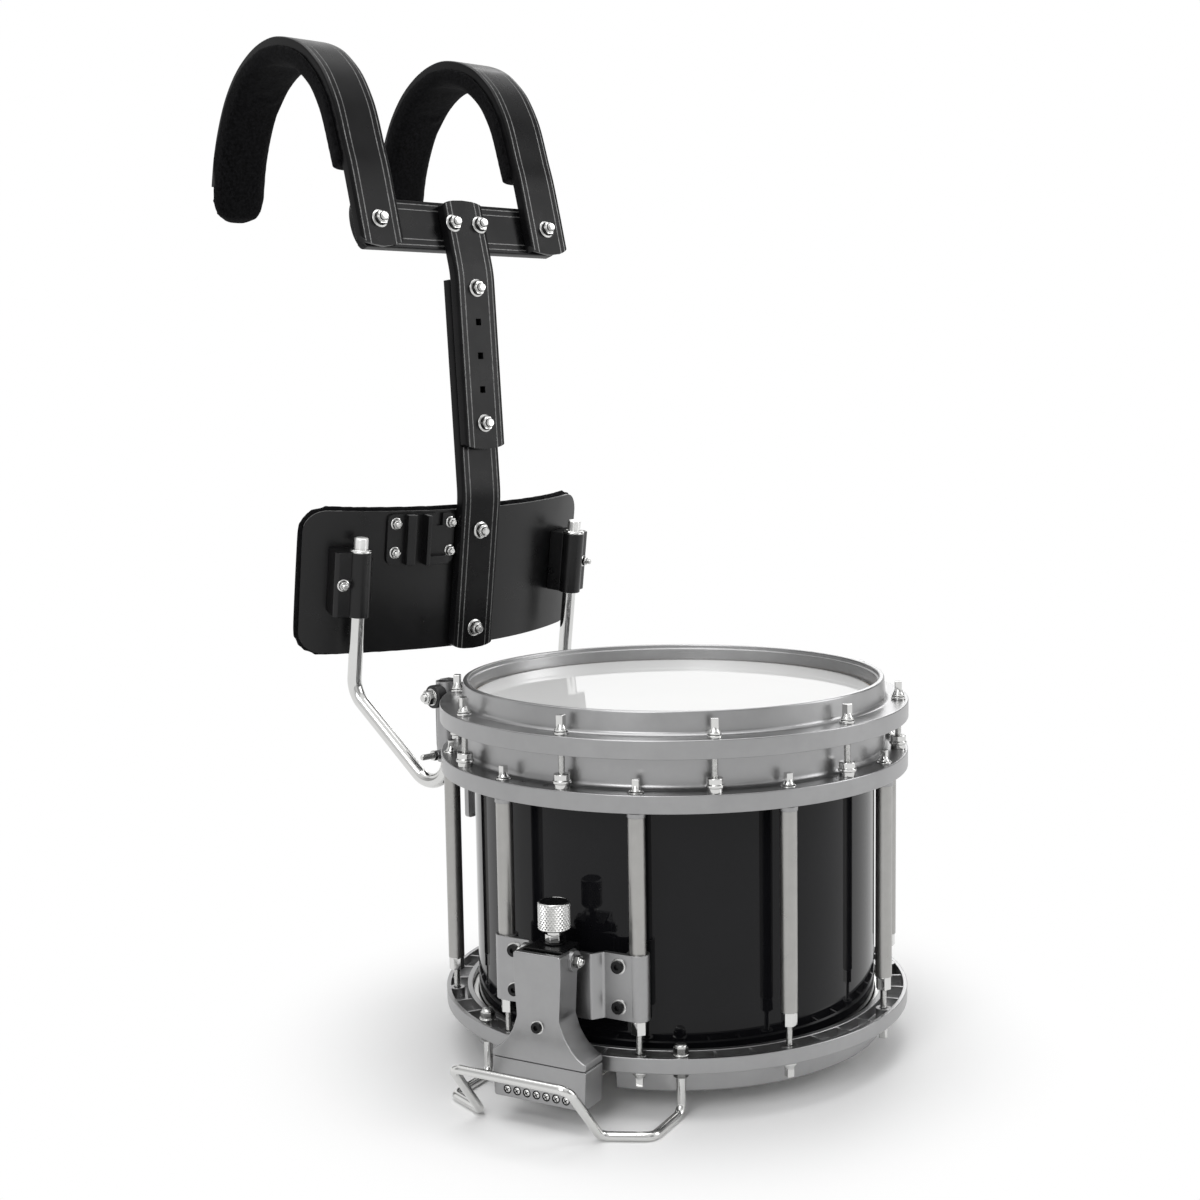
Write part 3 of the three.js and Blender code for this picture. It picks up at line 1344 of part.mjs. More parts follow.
// Accessory bracket on the plate's left: curved base, two upright rails and a foot shelf.
const accessoryAngle = (x) => -Math.asin(x / bellyRadius);
const accessoryTop = accessoryFootRise + accessoryHeight;
const accessoryBand = (outer, inner, depth, low, high, steps = 1) => bellyBand(
  accessoryAngle(outer), accessoryAngle(inner), -clearance - depth, -clearance, low, high, steps,
);
const railOuter = accessoryOuter - 2 * accessoryBoltInset;
const finOuter = railOuter - 2 * accessoryRailWidth;
const notchX = -(finOuter + accessoryInner) / 2;
const accessory = cut(
  join(
    accessoryBand(accessoryOuter, accessoryInner, accessoryBase, accessoryFootRise, accessoryTop, 6),
    accessoryBand(railOuter, railOuter - accessoryRailWidth, accessoryRailDepth,
      accessoryFootRise, accessoryTop),
    accessoryBand(finOuter, finOuter - accessoryFinWidth, accessoryFinDepth,
      accessoryFootRise, accessoryTop),
    accessoryBand(finOuter - accessoryFinWidth / 2, accessoryInner + accessoryBoltInset, accessoryRailDepth,
      accessoryFootRise, accessoryFootRise + accessoryShelfHeight),
    ...[accessoryOuter - accessoryBoltInset, accessoryInner + accessoryBoltInset / 2].flatMap((x) => (
      [accessoryTop - accessoryBoltRise, accessoryFootRise + accessoryBoltRise].map((z) => {
        const [bx, by] = bellyPoint(accessoryAngle(x), -clearance - accessoryBase);
        return boltHead(bx, by, z, 0, smallBoltShare);
      })
    )),
  ),
  box([notchX - accessoryNotchWidth / 2, notchX + accessoryNotchWidth / 2],
    [-accessoryFinDepth, accessoryFinDepth], [accessoryTop - accessoryNotchDepth, accessoryTop + overrun]),
  bellyBand(-bellySweep, bellySweep, -clearance, bellyPlate, -bellyFootDrop, bellyTopRise, bellySteps),
);
addMesh(back, 'accessory_bracket', accessory, satinBlack);

// J-rods: through the blocks, down beside the plate, in under the ring and up to the brackets.
function leanPoint(x, y, z) {
  const c = Math.cos(bellyLean);
  const s = Math.sin(bellyLean);
  return [x, plateSeat + y * c - z * s, bellyHeight + y * s + z * c];
}
function jRod(side) {
  const top = leanPoint(side * rodLocalX, rodLocalY, rodBlockTopRise + jRodStub);
  const low = leanPoint(side * rodLocalX, rodLocalY, -rodBlockFootDrop);
  const share = (top[2] - jRodKneeHeight) / (top[2] - low[2]);
  const knee = [top[0], top[1] + (low[1] - top[1]) * share, jRodKneeHeight];
  const tip = [side * jRodTipSpread, jRodTipReach];
  const across = Math.hypot(tip[0] - knee[0], tip[1] - knee[1]);
  const points = [top, knee, [...tip, jRodKneeHeight - jRodSlope * across], [...tip, jRodTipHeight]];
  return rodAlong(bentPath(points, [jRodKneeBend, jRodHookBend]), jRodRadius, jRodFacets);
}
addMesh(carrier, 'j_rod_left', jRod(-1), chrome);
addMesh(carrier, 'j_rod_right', jRod(1), chrome);

// Drum brackets: a bored block outside the rings, on an arm clamped to a lug tube.
const [armTubeX, armTubeY] = onCircle(tubeCircle, Math.PI / 2 - stationAngle / 2);
const hoopKeepOut = post(flangeRadius + clearance * 2, bracketArmFoot - overrun, bracketTop + overrun,
  ringFacets * 2);
const armInner = armTubeX;
const armOuter = armTubeX + clampBossRadius;
const webInner = jRodTipSpread - bracketHalfWidth;
const webOuter = webInner + bracketCorner;
const bracketWeb = prismX([
  [armTubeY - tubeRadius, bracketFoot], [bracketReach - bracketCorner, bracketFoot],
  [bracketReach, bracketFoot + bracketCorner], [bracketReach, bracketTop - bracketCorner],
  [bracketReach - bracketCorner, bracketTop], [armTubeY - tubeRadius, bracketTop],
], webInner, webOuter);
const armPlate = prismY([
  [armInner, bracketArmFoot], [armOuter, bracketArmFoot], [armOuter, bracketArmFoot + bracketBossHeight],
  [webOuter, bracketFoot], [webOuter, bracketTop - bracketCorner],
  [armInner + bracketCorner, bracketTop - bracketCorner],
  [armInner, bracketTop - 2 * bracketCorner],
], bracketReach - bracketArm, bracketReach);
const bracketEye = post(bracketEyeRadius, bracketFoot, bracketTop, tubeFacets, jRodTipSpread, jRodTipReach);
const bossHeights = [bracketBossFoot, bracketBossFoot + bracketBossHeight];
const outside = jRodTipSpread + bracketEyeRadius;
const discOut = outside + bracketDiscHeight;
const sunkIn = jRodTipSpread + jRodRadius;
const studZ = bracketFoot + bracketStudRise;
const studY = jRodTipReach - bracketCorner / 2;
const discZ = bracketFoot + bracketDiscRise;
const bracket = cut(
  join(
    cut(join(bracketWeb, armPlate, bracketEye), hoopKeepOut),
    post(clampBossRadius, ...bossHeights, tubeFacets, armTubeX, armTubeY),
    box([armTubeX - clampBossRadius / 2, armTubeX + clampBossRadius / 2],
      [armTubeY + tubeRadius, bracketReach - bracketArm / 2], bossHeights),
    cylinderBetween([sunkIn, jRodTipReach, discZ], [discOut, jRodTipReach, discZ],
      bracketDiscRadius, discFacets),
    cylinderBetween([sunkIn, jRodTipReach, discZ], [discOut + bracketNutHeight, jRodTipReach, discZ],
      bracketNutRadius, hexFacets),
    cylinderBetween([sunkIn, studY, studZ], [outside + bracketStudLength, studY, studZ],
      bracketStudRadius, hexFacets),
    cylinderBetween([sunkIn, studY, studZ], [outside + bracketStudNutHeight, studY, studZ],
      bracketStudNutRadius, hexFacets),
  ),
  post(bore(tubeRadius, tubeFacets), bracketArmFoot - overrun, bracketTop, tubeFacets, armTubeX, armTubeY),
  post(bore(jRodRadius, tubeFacets), bracketFoot - overrun, bracketTop + overrun, tubeFacets,
    jRodTipSpread, jRodTipReach),
);
addMesh(carrier, 'drum_bracket_right', bracket, castGrey);
addMesh(carrier, 'drum_bracket_left', mirrored(bracket), castGrey);

// The finished part stands on its bails, centred over the origin.
part.updateMatrixWorld(true);
const bounds = new THREE.Box3().setFromObject(part, true);
const middle = bounds.getCenter(new THREE.Vector3());
part.position.set(-middle.x, -middle.y, -bounds.min.z);
part.updateMatrixWorld(true);

export default part;
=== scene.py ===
"""A marching snare drum on its shoulder carrier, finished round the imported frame."""

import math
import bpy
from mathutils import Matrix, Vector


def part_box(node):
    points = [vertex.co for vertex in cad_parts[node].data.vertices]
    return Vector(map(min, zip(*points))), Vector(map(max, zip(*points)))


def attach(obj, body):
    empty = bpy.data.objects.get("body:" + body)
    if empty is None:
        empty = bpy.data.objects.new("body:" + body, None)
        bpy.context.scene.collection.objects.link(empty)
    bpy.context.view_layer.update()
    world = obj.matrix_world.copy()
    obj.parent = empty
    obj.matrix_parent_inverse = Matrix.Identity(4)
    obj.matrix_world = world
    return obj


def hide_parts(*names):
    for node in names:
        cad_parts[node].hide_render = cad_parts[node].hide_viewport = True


bl_info = {
    "name": "Marching Snare Drum on Carrier",
    "version": (1, 0, 0),
    "blender": (4, 5, 0),
    "location": "View3D > Sidebar > Snare Drum",
    "description": "Builds the drum, its fittings and the shoulder carrier",
    "category": "Object",
}

from types import SimpleNamespace

import bmesh
import bpy
from bpy.props import FloatProperty, FloatVectorProperty, IntProperty, PointerProperty
from mathutils import Matrix, Vector

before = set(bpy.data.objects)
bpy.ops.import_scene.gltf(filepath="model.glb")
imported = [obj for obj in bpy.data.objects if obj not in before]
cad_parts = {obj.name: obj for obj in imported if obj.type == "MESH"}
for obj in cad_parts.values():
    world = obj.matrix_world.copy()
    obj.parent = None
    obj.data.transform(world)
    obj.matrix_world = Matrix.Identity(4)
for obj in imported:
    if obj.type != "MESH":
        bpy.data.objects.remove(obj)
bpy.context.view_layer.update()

# Sizes are written in millimetres, and the scene is in metres.
PER_METRE = 1000

# The drum's axis and the upper face of its lower hoop, where the drum's own heights start.
SHELL_LOW, SHELL_HIGH = (Vector(corner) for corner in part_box("shell"))
HOOP_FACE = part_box("snare_hoop")[1][2]
MIDDLE = (SHELL_LOW + SHELL_HIGH) / 2
CARRIER = Matrix.Translation((MIDDLE.x, MIDDLE.y, HOOP_FACE)) @ Matrix.Scale(1 / PER_METRE, 4)
DRUM = CARRIER @ Matrix.Rotation(math.radians(18), 4, "Z")
SHELL_RADIUS = (SHELL_HIGH.x - SHELL_LOW.x) * PER_METRE / 2
TAU = 2 * math.pi
RODS = 10
STEP = TAU / RODS
ROD_START = math.pi
TUBE_START = math.pi + STEP / 2

# Places on the drum that several pieces share, in millimetres: the bails' legs, the strainer's pivot, the
# throw arm's front and back, the row of strand screws, and the tips of the J-shaped rods seen from above.
LEG_RADIUS, LEG_ANGLE = 193.4, 27.6
PIVOT = (-219, 0, 80)
ARM_FRONT, ARM_BACK = -239.4, -212
STRAND_SCREWS, SCREW_PITCH = 7, 8.8
ROD_TIP = (106.5, 184.5)

SIDES = ((-1, "left"), (1, "right"))


# Sizes and colours of the panel.

def length(name, description, millimetres):
    """A size in the scene's unit of length, given here in millimetres."""
    return FloatProperty(name=name, description=description, default=millimetres / PER_METRE,
                         min=0.0, precision=5, unit="LENGTH")


def colour(name, description, default):
    """A colour of the panel, linear."""
    return FloatVectorProperty(name=name, description=description, default=default,
                               size=3, min=0.0, max=1.0, subtype="COLOR")


class DrumSizes(bpy.types.PropertyGroup):
    """Sizes of the drum's own pieces."""

    shell_radius: length("Shell radius", "Outer radius of the shell", SHELL_RADIUS)
    shell_wall: length("Shell wall", "Thickness of the shell", 6)
    head_height: length("Head height", "Height of the batter head over the lower hoop's face", 258)
    head_drop: length("Snare head drop", "Depth of the snare head under the lower hoop's face", 20.5)
    flange_height: length("Flange height", "Height of the batter hoop's flange face", 252.3)
    flange_radius: length("Flange radius", "Outer radius of both hoops", 203.7)
    flange_skirt: length("Flange skirt", "Depth of the batter hoop's outer wall", 15.1)
    collar_rise: length("Collar rise", "Height of the batter hoop's collar over its flange", 19.2)
    ring_top: length("Ring height", "Height of the frame ring's upper face", 209.4)
    ring_depth: length("Ring depth", "Depth of the frame ring's outer wall", 14.8)
    rod_circle: length("Rod circle", "Radius that the batter rods stand on", 195)
    rod_radius: length("Rod radius", "Radius of the tension rods", 2.75)
    thread_pitch: length("Thread pitch", "Distance between two turns of a thread", 1.0)
    key_width: length("Key width", "Width across the flats of a square key head", 6)
    key_height: length("Key height", "Height of a batter rod's key head", 11)
    tube_circle: length("Tube circle", "Radius that the lug tubes stand on", 194.6)
    tube_radius: length("Tube radius", "Outer radius of a lug tube", 6.9)
    knob_radius: length("Knob radius", "Radius of the strainer's tension knob", 13)
    bail_wire: length("Bail wire", "Radius of the bails' wire", 3.75)
    strand_pitch: length("Strand pitch", "Distance between two snare strands", 4.3)
    strands: IntProperty(name="Strands", description="Number of snare strands", default=14, min=2, max=40)


class CarrierSizes(bpy.types.PropertyGroup):
    """Sizes of the carrier's pieces."""

    strip_width: length("Strip width", "Width of the extruded strips", 48)
    strip_depth: length("Strip depth", "Depth of the strips over their edge flanges", 10)
    strip_face: length("Strip face", "Thickness of the strips' face", 4)
    groove_depth: length("Groove depth", "Depth of the fine grooves along a strip", 0.45)
    strap_spread: length("Strap spread", "Distance of a shoulder strap from the middle", 102)
    strap_reach: length("Strap reach", "Distance that a strap reaches back", 262)
    strap_rise: length("Strap rise", "Height of a strap over its foot", 205)
    pad_width: length("Pad width", "Width of a shoulder pad", 58)
    pad_thickness: length("Pad thickness", "Thickness of a shoulder pad", 17)
    belly_radius: length("Belly radius", "Radius that the belly plate is bent to", 369)
    belly_half: length("Belly half width", "Half of the belly plate's width", 171)
    belly_pad: length("Belly pad", "Thickness of the belly pad", 13)
    j_rod: length("J-rod radius", "Radius of the two J-shaped rods", 6.8)


class Finishes(bpy.types.PropertyGroup):
    """Colours of the drum and its carrier."""

    cast: colour("Cast parts", "Satin grey of the cast hoops and fittings", (0.345, 0.345, 0.348))
    tube: colour("Lug tubes", "Satin finish of the lug tubes", (0.39, 0.386, 0.374))
    chrome: colour("Chrome", "Plated rods, bolts and wires", (0.66, 0.66, 0.65))
    shell: colour("Shell", "Lacquer of the shell", (0.005, 0.005, 0.006))
    head: colour("Heads", "Coated film of the drumheads", (0.80, 0.80, 0.795))
    strip: colour("Carrier", "Anodised black of the carrier", (0.0042, 0.0042, 0.0046))
    cloth: colour("Pad cloth", "Cloth of the pads", (0.0036, 0.0036, 0.004))
    rubber: colour("Rubber", "Rubber discs and black screws", (0.006, 0.006, 0.0065))
    floor: colour("Floor", "Floor and backdrop", (0.94, 0.94, 0.94))


class SnareDrum(bpy.types.PropertyGroup):
    """Everything that the panel shows."""

    drum: PointerProperty(type=DrumSizes)
    carrier: PointerProperty(type=CarrierSizes)
    finishes: PointerProperty(type=Finishes)


def millimetres(group):
    """A group's lengths as plain numbers in millimetres, and its counts as they are."""
    values = {key: getattr(group, key) for key in group.__annotations__}
    return SimpleNamespace(**{
        key: value if isinstance(value, int) else value * PER_METRE for key, value in values.items()
    })


def drum_sizes():
    return millimetres(bpy.context.scene.snare_drum.drum)


def carrier_sizes():
    return millimetres(bpy.context.scene.snare_drum.carrier)


# Materials.

def wire_up(owner):
    """The node tree of a material or world, its shader and a maker of linked nodes."""
    owner.use_nodes = True
    tree = owner.node_tree
    shader = next(node for node in tree.nodes if node.type in ("BSDF_PRINCIPLED", "BACKGROUND"))

    def node(kind, links=(), **values):
        made = tree.nodes.new(kind)
        for key, value in values.items():
            if hasattr(made, key):
                setattr(made, key, value)
            else:
                made.inputs[key.replace("_", " ")].default_value = value
        for socket, source in links:
            tree.links.new(source, made.inputs[socket])
        return made

    return tree, shader, node


def finish(name, tint, roughness, metallic=0.0, spread=0.12, mottle=40.0, stretch=(1, 1, 1),
           grain=1800.0, bump=0.12, depth=0.00006, streaks=0.0, worn=None, **sockets):
    """A finish whose colour, gloss and fine grain vary over the surface."""
    if name in bpy.data.materials:
        return bpy.data.materials[name]
    material = bpy.data.materials.new(name)
    tree, shader, node = wire_up(material)
    place = node("ShaderNodeTexCoord").outputs["Object"]
    mapping = node("ShaderNodeMapping", [("Vector", place)], Scale=stretch)
    cloud = node("ShaderNodeTexNoise", [("Vector", mapping.outputs[0])], Scale=mottle, Detail=5.0,
                 Roughness=0.6)
    ramp = node("ShaderNodeValToRGB", [("Fac", cloud.outputs["Fac"])])
    low, high = ramp.color_ramp.elements
    low.position, high.position = 0.32, 0.70
    low.color = (*(channel * (1 - spread) for channel in tint), 1)
    high.color = (*(min(1.0, channel * (1 + spread)) for channel in tint), 1)
    shade = ramp.outputs[0]
    fine = node("ShaderNodeTexNoise", [("Vector", mapping.outputs[0])], Scale=grain, Detail=3.0,
                Roughness=0.7)
    if worn:
        patch = node("ShaderNodeTexNoise", [("Vector", place)], Scale=mottle * 3, Detail=8.0, Roughness=0.75)
        mask = node("ShaderNodeMapRange", [("Value", patch.outputs["Fac"])], From_Min=0.66, From_Max=0.74)
        blend = node("ShaderNodeMix", data_type="RGBA")
        tree.links.new(mask.outputs[0], blend.inputs[0])
        tree.links.new(shade, blend.inputs[6])
        blend.inputs[7].default_value = (*worn, 1)
        shade = blend.outputs[2]
    gloss = node("ShaderNodeMapRange", [("Value", cloud.outputs["Fac"])], From_Min=0.3, From_Max=0.7,
                 To_Min=roughness[0], To_Max=roughness[1])
    height = fine.outputs["Fac"]
    if streaks:
        brushed = node("ShaderNodeMapping", [("Vector", place)], Scale=(1, 1, 0.02))
        lines = node("ShaderNodeTexNoise", [("Vector", brushed.outputs[0])], Scale=streaks, Detail=3.0)
        height = node("ShaderNodeMath", [(0, height), (1, lines.outputs["Fac"])], operation="ADD").outputs[0]
    relief = node("ShaderNodeBump", [("Height", height)], Strength=bump, Distance=depth)
    tree.links.new(shade, shader.inputs["Base Color"])
    tree.links.new(gloss.outputs[0], shader.inputs["Roughness"])
    tree.links.new(relief.outputs[0], shader.inputs["Normal"])
    shader.inputs["Metallic"].default_value = metallic
    for socket, value in sockets.items():
        shader.inputs[socket.replace("_", " ")].default_value = value
    return material


def tint_of(name):
    return tuple(getattr(bpy.context.scene.snare_drum.finishes, name))


def cast_satin():
    return finish("cast_satin", tint_of("cast"), (0.28, 0.37), 0.95, spread=0.05, mottle=45,
                  grain=2600, bump=0.20, depth=0.00003)


def tube_satin():
    return finish("tube_satin", tint_of("tube"), (0.26, 0.36), 0.95, spread=0.06, mottle=60,
                  grain=1500, bump=0.10, depth=0.00003, streaks=900)


def chrome():
    return finish("chrome_plate", tint_of("chrome"), (0.05, 0.11), 1.0, spread=0.03, mottle=60,
                  grain=500, bump=0.01, depth=0.00002)


def zinc():
    return finish("zinc_bolt", tuple(0.95 * c for c in tint_of("chrome")), (0.16, 0.28), 1.0, spread=0.10,
                  mottle=260, grain=1500, bump=0.12, depth=0.00004)


# Zinc at three tenths of the chrome's tint: the brackets' bolt thread, and painted shade on the flats of the
# hex nuts.
def zinc_for_threads_and_shade():
    return finish("zinc_thread", tuple(0.30 * c for c in tint_of("chrome")), (0.25, 0.40), 1.0, spread=0.2,
                  mottle=260, grain=1500, bump=0.12, depth=0.00004)


def shell_gloss():
    return finish("shell_lacquer", tint_of("shell"), (0.04, 0.05), 0.0, spread=0.25, mottle=8,
                  grain=60, bump=0.01, depth=0.0001, Specular_IOR_Level=0.22)


def film():
    return finish("head_film", tint_of("head"), (0.03, 0.04), 0.0, spread=0.012, mottle=6,
                  grain=2600, bump=0.01, depth=0.00001, Specular_IOR_Level=0.5)


def knurled():
    return finish("knurled_plate", tuple(min(1.0, 1.25 * c) for c in tint_of("chrome")), (0.36, 0.48), 1.0,
                  spread=0.06, mottle=500, grain=1500, bump=0.12, depth=0.00004)


def plate_black():
    return finish("plate_black", tint_of("strip"), (0.26, 0.36), 0.0, spread=0.22, mottle=35,
                  grain=1400, bump=0.10, depth=0.00004, Specular_IOR_Level=0.34, worn=(0.009, 0.009, 0.0095))


def strip_black():
    return finish("carrier_black", tint_of("strip"), (0.24, 0.34), 0.0, spread=0.22, mottle=35,
                  grain=1400, bump=0.10, depth=0.00004, streaks=700, Specular_IOR_Level=0.135,
                  worn=(0.009, 0.009, 0.0095))


# A pale grey painted highlight, put on the strips' groove faces and on the belly plate's narrow edge faces.
def painted_highlight_line():
    return finish("groove_edge", (0.17, 0.17, 0.17), (0.25, 0.40), 0.4, spread=0.4, mottle=200,
                  grain=1500, bump=0.1)


def rubber():
    return finish("black_rubber", tint_of("rubber"), (0.42, 0.60), 0.0, spread=0.2, mottle=150,
                  grain=1600, bump=0.2, depth=0.00006)


def oxide():
    return finish("black_oxide", tint_of("rubber"), (0.22, 0.36), 0.5, spread=0.3, mottle=300,
                  grain=2000, bump=0.1, depth=0.00003)


def strand_wire():
    return finish("strand_wire", (0.62, 0.61, 0.57), (0.2, 0.3), 1.0, spread=0.08, mottle=300,
                  grain=1500, bump=0.1)


def plywood():
    return finish("shell_inside", (0.36, 0.22, 0.11), (0.35, 0.5), 0.0, spread=0.25, mottle=30,
                  stretch=(1, 1, 8), grain=500, bump=0.1)


def pad_cloth():
    """Brushed black cloth: short crossing fibres over a soft nap."""
    name = "pad_cloth"
    if name in bpy.data.materials:
        return bpy.data.materials[name]
    material = bpy.data.materials.new(name)
    tree, shader, node = wire_up(material)
    place = node("ShaderNodeTexCoord").outputs["Object"]
    heights = []
    for turn in (0.6, -0.7):
        mapping = node("ShaderNodeMapping", [("Vector", place)], Rotation=(turn, turn, turn),
                       Scale=(1, 1, 0.35))
        fibre = node("ShaderNodeTexNoise", [("Vector", mapping.outputs[0])], Scale=900.0, Detail=4.0,
                     Roughness=0.75)
        heights.append(fibre.outputs["Fac"])
    nap = node("ShaderNodeMath", [(0, heights[0]), (1, heights[1])], operation="ADD").outputs[0]
    cloud = node("ShaderNodeTexNoise", [("Vector", place)], Scale=340.0, Detail=6.0, Roughness=0.8)
    ramp = node("ShaderNodeValToRGB", [("Fac", cloud.outputs["Fac"])])
    base = tint_of("cloth")
    low, high = ramp.color_ramp.elements
    low.position, high.position = 0.40, 0.66
    low.color = (*(channel * 0.35 for channel in base), 1)
    high.color = (*(channel * 2.6 for channel in base), 1)
    relief = node("ShaderNodeBump", [("Height", nap)], Strength=0.55, Distance=0.0006)
    tree.links.new(ramp.outputs[0], shader.inputs["Base Color"])
    tree.links.new(relief.outputs[0], shader.inputs["Normal"])
    rough = node("ShaderNodeMapRange", [("Value", cloud.outputs["Fac"])], To_Min=0.86, To_Max=1.0)
    tree.links.new(rough.outputs[0], shader.inputs["Roughness"])
    for socket, value in (("Sheen Weight", 0.03), ("Sheen Roughness", 0.5), ("Specular IOR Level", 0.04)):
        shader.inputs[socket].default_value = value
    return material


# Meshes, all in millimetres until they are placed. Edges sharper than this are bevelled.

BEVEL_ANGLE = math.radians(35)


def made(verts, faces, material, bevel=0.0, steps=2):
    """A closed mesh with its faces outwards and, where asked, its edges bevelled."""
    work = bmesh.new()
    corners = [work.verts.new(point) for point in verts]
    for face in faces:
        work.faces.new([corners[i] for i in face])
    bmesh.ops.remove_doubles(work, verts=work.verts, dist=1e-4)
    bmesh.ops.recalc_face_normals(work, faces=work.faces)
    if bevel:
        edges = [edge for edge in work.edges
                 if len(edge.link_faces) == 2 and edge.calc_face_angle(0) > BEVEL_ANGLE]
        bmesh.ops.bevel(work, geom=edges, offset=bevel, offset_type="OFFSET", segments=steps,
                        profile=0.5, affect="EDGES", clamp_overlap=True)
    mesh = bpy.data.meshes.new("work")
    work.to_mesh(mesh)
    work.free()
    mesh.materials.append(material)
    return mesh


def softened(points, radius, steps=3, closed=True, radii=None):
    """An outline with its corners rounded; points on the axis of a turned piece stay."""
    out = []
    count = len(points)
    for i, point in enumerate(points):
        here = Vector(point)
        size = radii.get(i, radius) if radii else radius
        if not closed and i in (0, count - 1) or size <= 0:
            out.append(tuple(here))
            continue
        back = Vector(points[i - 1]) - here
        ahead = Vector(points[(i + 1) % count]) - here
        reach = min(size, back.length * 0.45, ahead.length * 0.45)
        if reach < 1e-3 or back.angle(ahead) > 3.12:
            out.append(tuple(here))
            continue
        start, end = here + back.normalized() * reach, here + ahead.normalized() * reach
        for k in range(steps + 1):
            t = k / steps
            out.append(tuple((1 - t) ** 2 * start + 2 * (1 - t) * t * here + t * t * end))
    return out


def turned(profile, material, soft=0.0, around=64, steps=3, radii=None):
    """A piece turned about Z from closed [radius, height] points."""
    if soft or radii:
        on_axis = {i: 0 for i, point in enumerate(profile) if abs(point[0]) < 1e-6}
        profile = softened(profile, soft, steps, radii={**(radii or {}), **on_axis})
    verts, rows, faces = [], [], []
    for r, z in profile:
        if abs(r) < 1e-6:
            rows.append([len(verts)] * around)
            verts.append((0, 0, z))
        else:
            rows.append(list(range(len(verts), len(verts) + around)))
            verts += [(*polar(r, TAU * k / around), z) for k in range(around)]
    for a, b in zip(rows, rows[1:] + rows[:1]):
        for k in range(around):
            n = (k + 1) % around
            face = list(dict.fromkeys((a[k], a[n], b[n], b[k])))
            if len(face) > 2:
                faces.append(face)
    return made(verts, faces, material)


def cylinder(inner, outer, low, high, material, soft=0.0, around=64):
    """A straight cylinder on Z, bored through where its inner radius isn't zero."""
    profile = [(inner, low), (outer, low), (outer, high), (inner, high)]
    return turned(profile, material, soft=soft, around=around)


def prism(outline, low, high, material, along="Z", bevel=0.5, steps=2):
    """An outline pushed along one axis; X takes [y, z] points and Y takes [x, z] points."""
    def put(u, v, w):
        return {"Z": (u, v, w), "X": (w, u, v), "Y": (u, w, v)}[along]

    count = len(outline)
    verts = [put(u, v, low) for u, v in outline] + [put(u, v, high) for u, v in outline]
    faces = [list(range(count)), list(range(count, 2 * count))]
    faces += [[k, (k + 1) % count, (k + 1) % count + count, k + count] for k in range(count)]
    return made(verts, faces, material, bevel, steps)


def block(x, y, z, material, bevel=0.6):
    """A box from its lowest and highest x, y and z."""
    corners = [(x[0], y[0]), (x[1], y[0]), (x[1], y[1]), (x[0], y[1])]
    return prism(corners, *z, material, "Z", bevel)


def polar(radius, angle):
    return radius * math.cos(angle), radius * math.sin(angle)


def polygon(radius, sides):
    return [polar(radius, TAU * k / sides) for k in range(sides)]


def skin(rings, count):
    """Faces over rings of points, with a cap on the first and on the last."""
    pairs = [(k, (k + 1) % count) for k in range(count)]
    faces = [(i * count + k, i * count + n, (i + 1) * count + n, (i + 1) * count + k)
             for i in range(rings - 1) for k, n in pairs]
    return faces + [list(range(count)), list(range((rings - 1) * count, rings * count))]


def loft(rings, material):
    """A closed skin over rings of points."""
    return made([point for ring in rings for point in ring], skin(len(rings), len(rings[0])), material)


def bent(points, radii, steps=10):
    """Points of a bent rod, each inner corner an arc of its own radius."""
    corners = [Vector(point) for point in points]
    out = [corners[0]]
    for before, here, after, radius in zip(corners, corners[1:], corners[2:], radii):
        back, ahead = (before - here).normalized(), (after - here).normalized()
        half = back.angle(ahead) / 2
        centre = here + (back + ahead).normalized() * (radius / math.sin(half))
        start = here + back * (radius / math.tan(half)) - centre
        end = here + ahead * (radius / math.tan(half)) - centre
        axis = start.cross(end).normalized()
        swing = math.pi - 2 * half
        count = max(2, round(steps * swing))
        out += [Matrix.Rotation(swing * k / count, 3, axis) @ start + centre for k in range(count + 1)]
    return out + [corners[-1]]


def rod(path, radius, material, sides=20, chamfer=0.6):
    """A round rod along a path, with chamfered ends."""
    path = [Vector(point) for point in path]
    first, last = (path[1] - path[0]).normalized(), (path[-1] - path[-2]).normalized()
    path = [path[0], path[0] + first * chamfer, *path[1:-1], path[-1] - last * chamfer, path[-1]]
    sizes = [radius - chamfer] + [radius] * (len(path) - 2) + [radius - chamfer]
    ways = [(after - before).normalized() for before, after in zip([path[0], *path], [*path[1:], path[-1]])]
    ways[0], ways[-1] = first, last
    side = first.orthogonal().normalized()
    verts = []
    for i, (point, way, size) in enumerate(zip(path, ways, sizes)):
        if i:
            side = ways[i - 1].rotation_difference(way) @ side
        other = way.cross(side)
        verts += [point + (side * math.cos(TAU * k / sides) + other * math.sin(TAU * k / sides)) * size
                  for k in range(sides)]
    return made(verts, skin(len(path), sides), material)


def thread(radius, low, high, pitch, material, around=18):
    """A threaded length of rod on Z."""
    inner = radius - 0.55 * pitch
    turns = max(1, round((high - low) / pitch))
    profile = [(0, low), (inner, low)]
    for k in range(turns):
        z = low + (high - low) * k / turns
        profile += [(radius, z + pitch * 0.4), (radius, z + pitch * 0.6), (inner, z + pitch)]
    profile[-1] = (inner, high)
    profile.append((0, high))
    return turned(profile, material, around=around)


def at(mesh, *moves):
    """A copy of a mesh, moved by one matrix after another."""
    copy = mesh.copy()
    for move in moves:
        copy.transform(move)
        if move.determinant() < 0:
            copy.flip_normals()
    return copy


def shift(x, y, z):
    return Matrix.Translation((x, y, z))


def spin(degrees, axis="Z"):
    return Matrix.Rotation(math.radians(degrees), 4, axis)


def mirrored(mesh):
    """The mirror image of a mesh across the carrier's middle."""
    return at(mesh, Matrix.Scale(-1, 4, (1, 0, 0)))


def aimed(place, way):
    """A matrix that stands a piece made on Z at a place, looking along a way."""
    return Matrix.Translation(place) @ Vector(way).to_track_quat("Z", "Y").to_matrix().to_4x4()


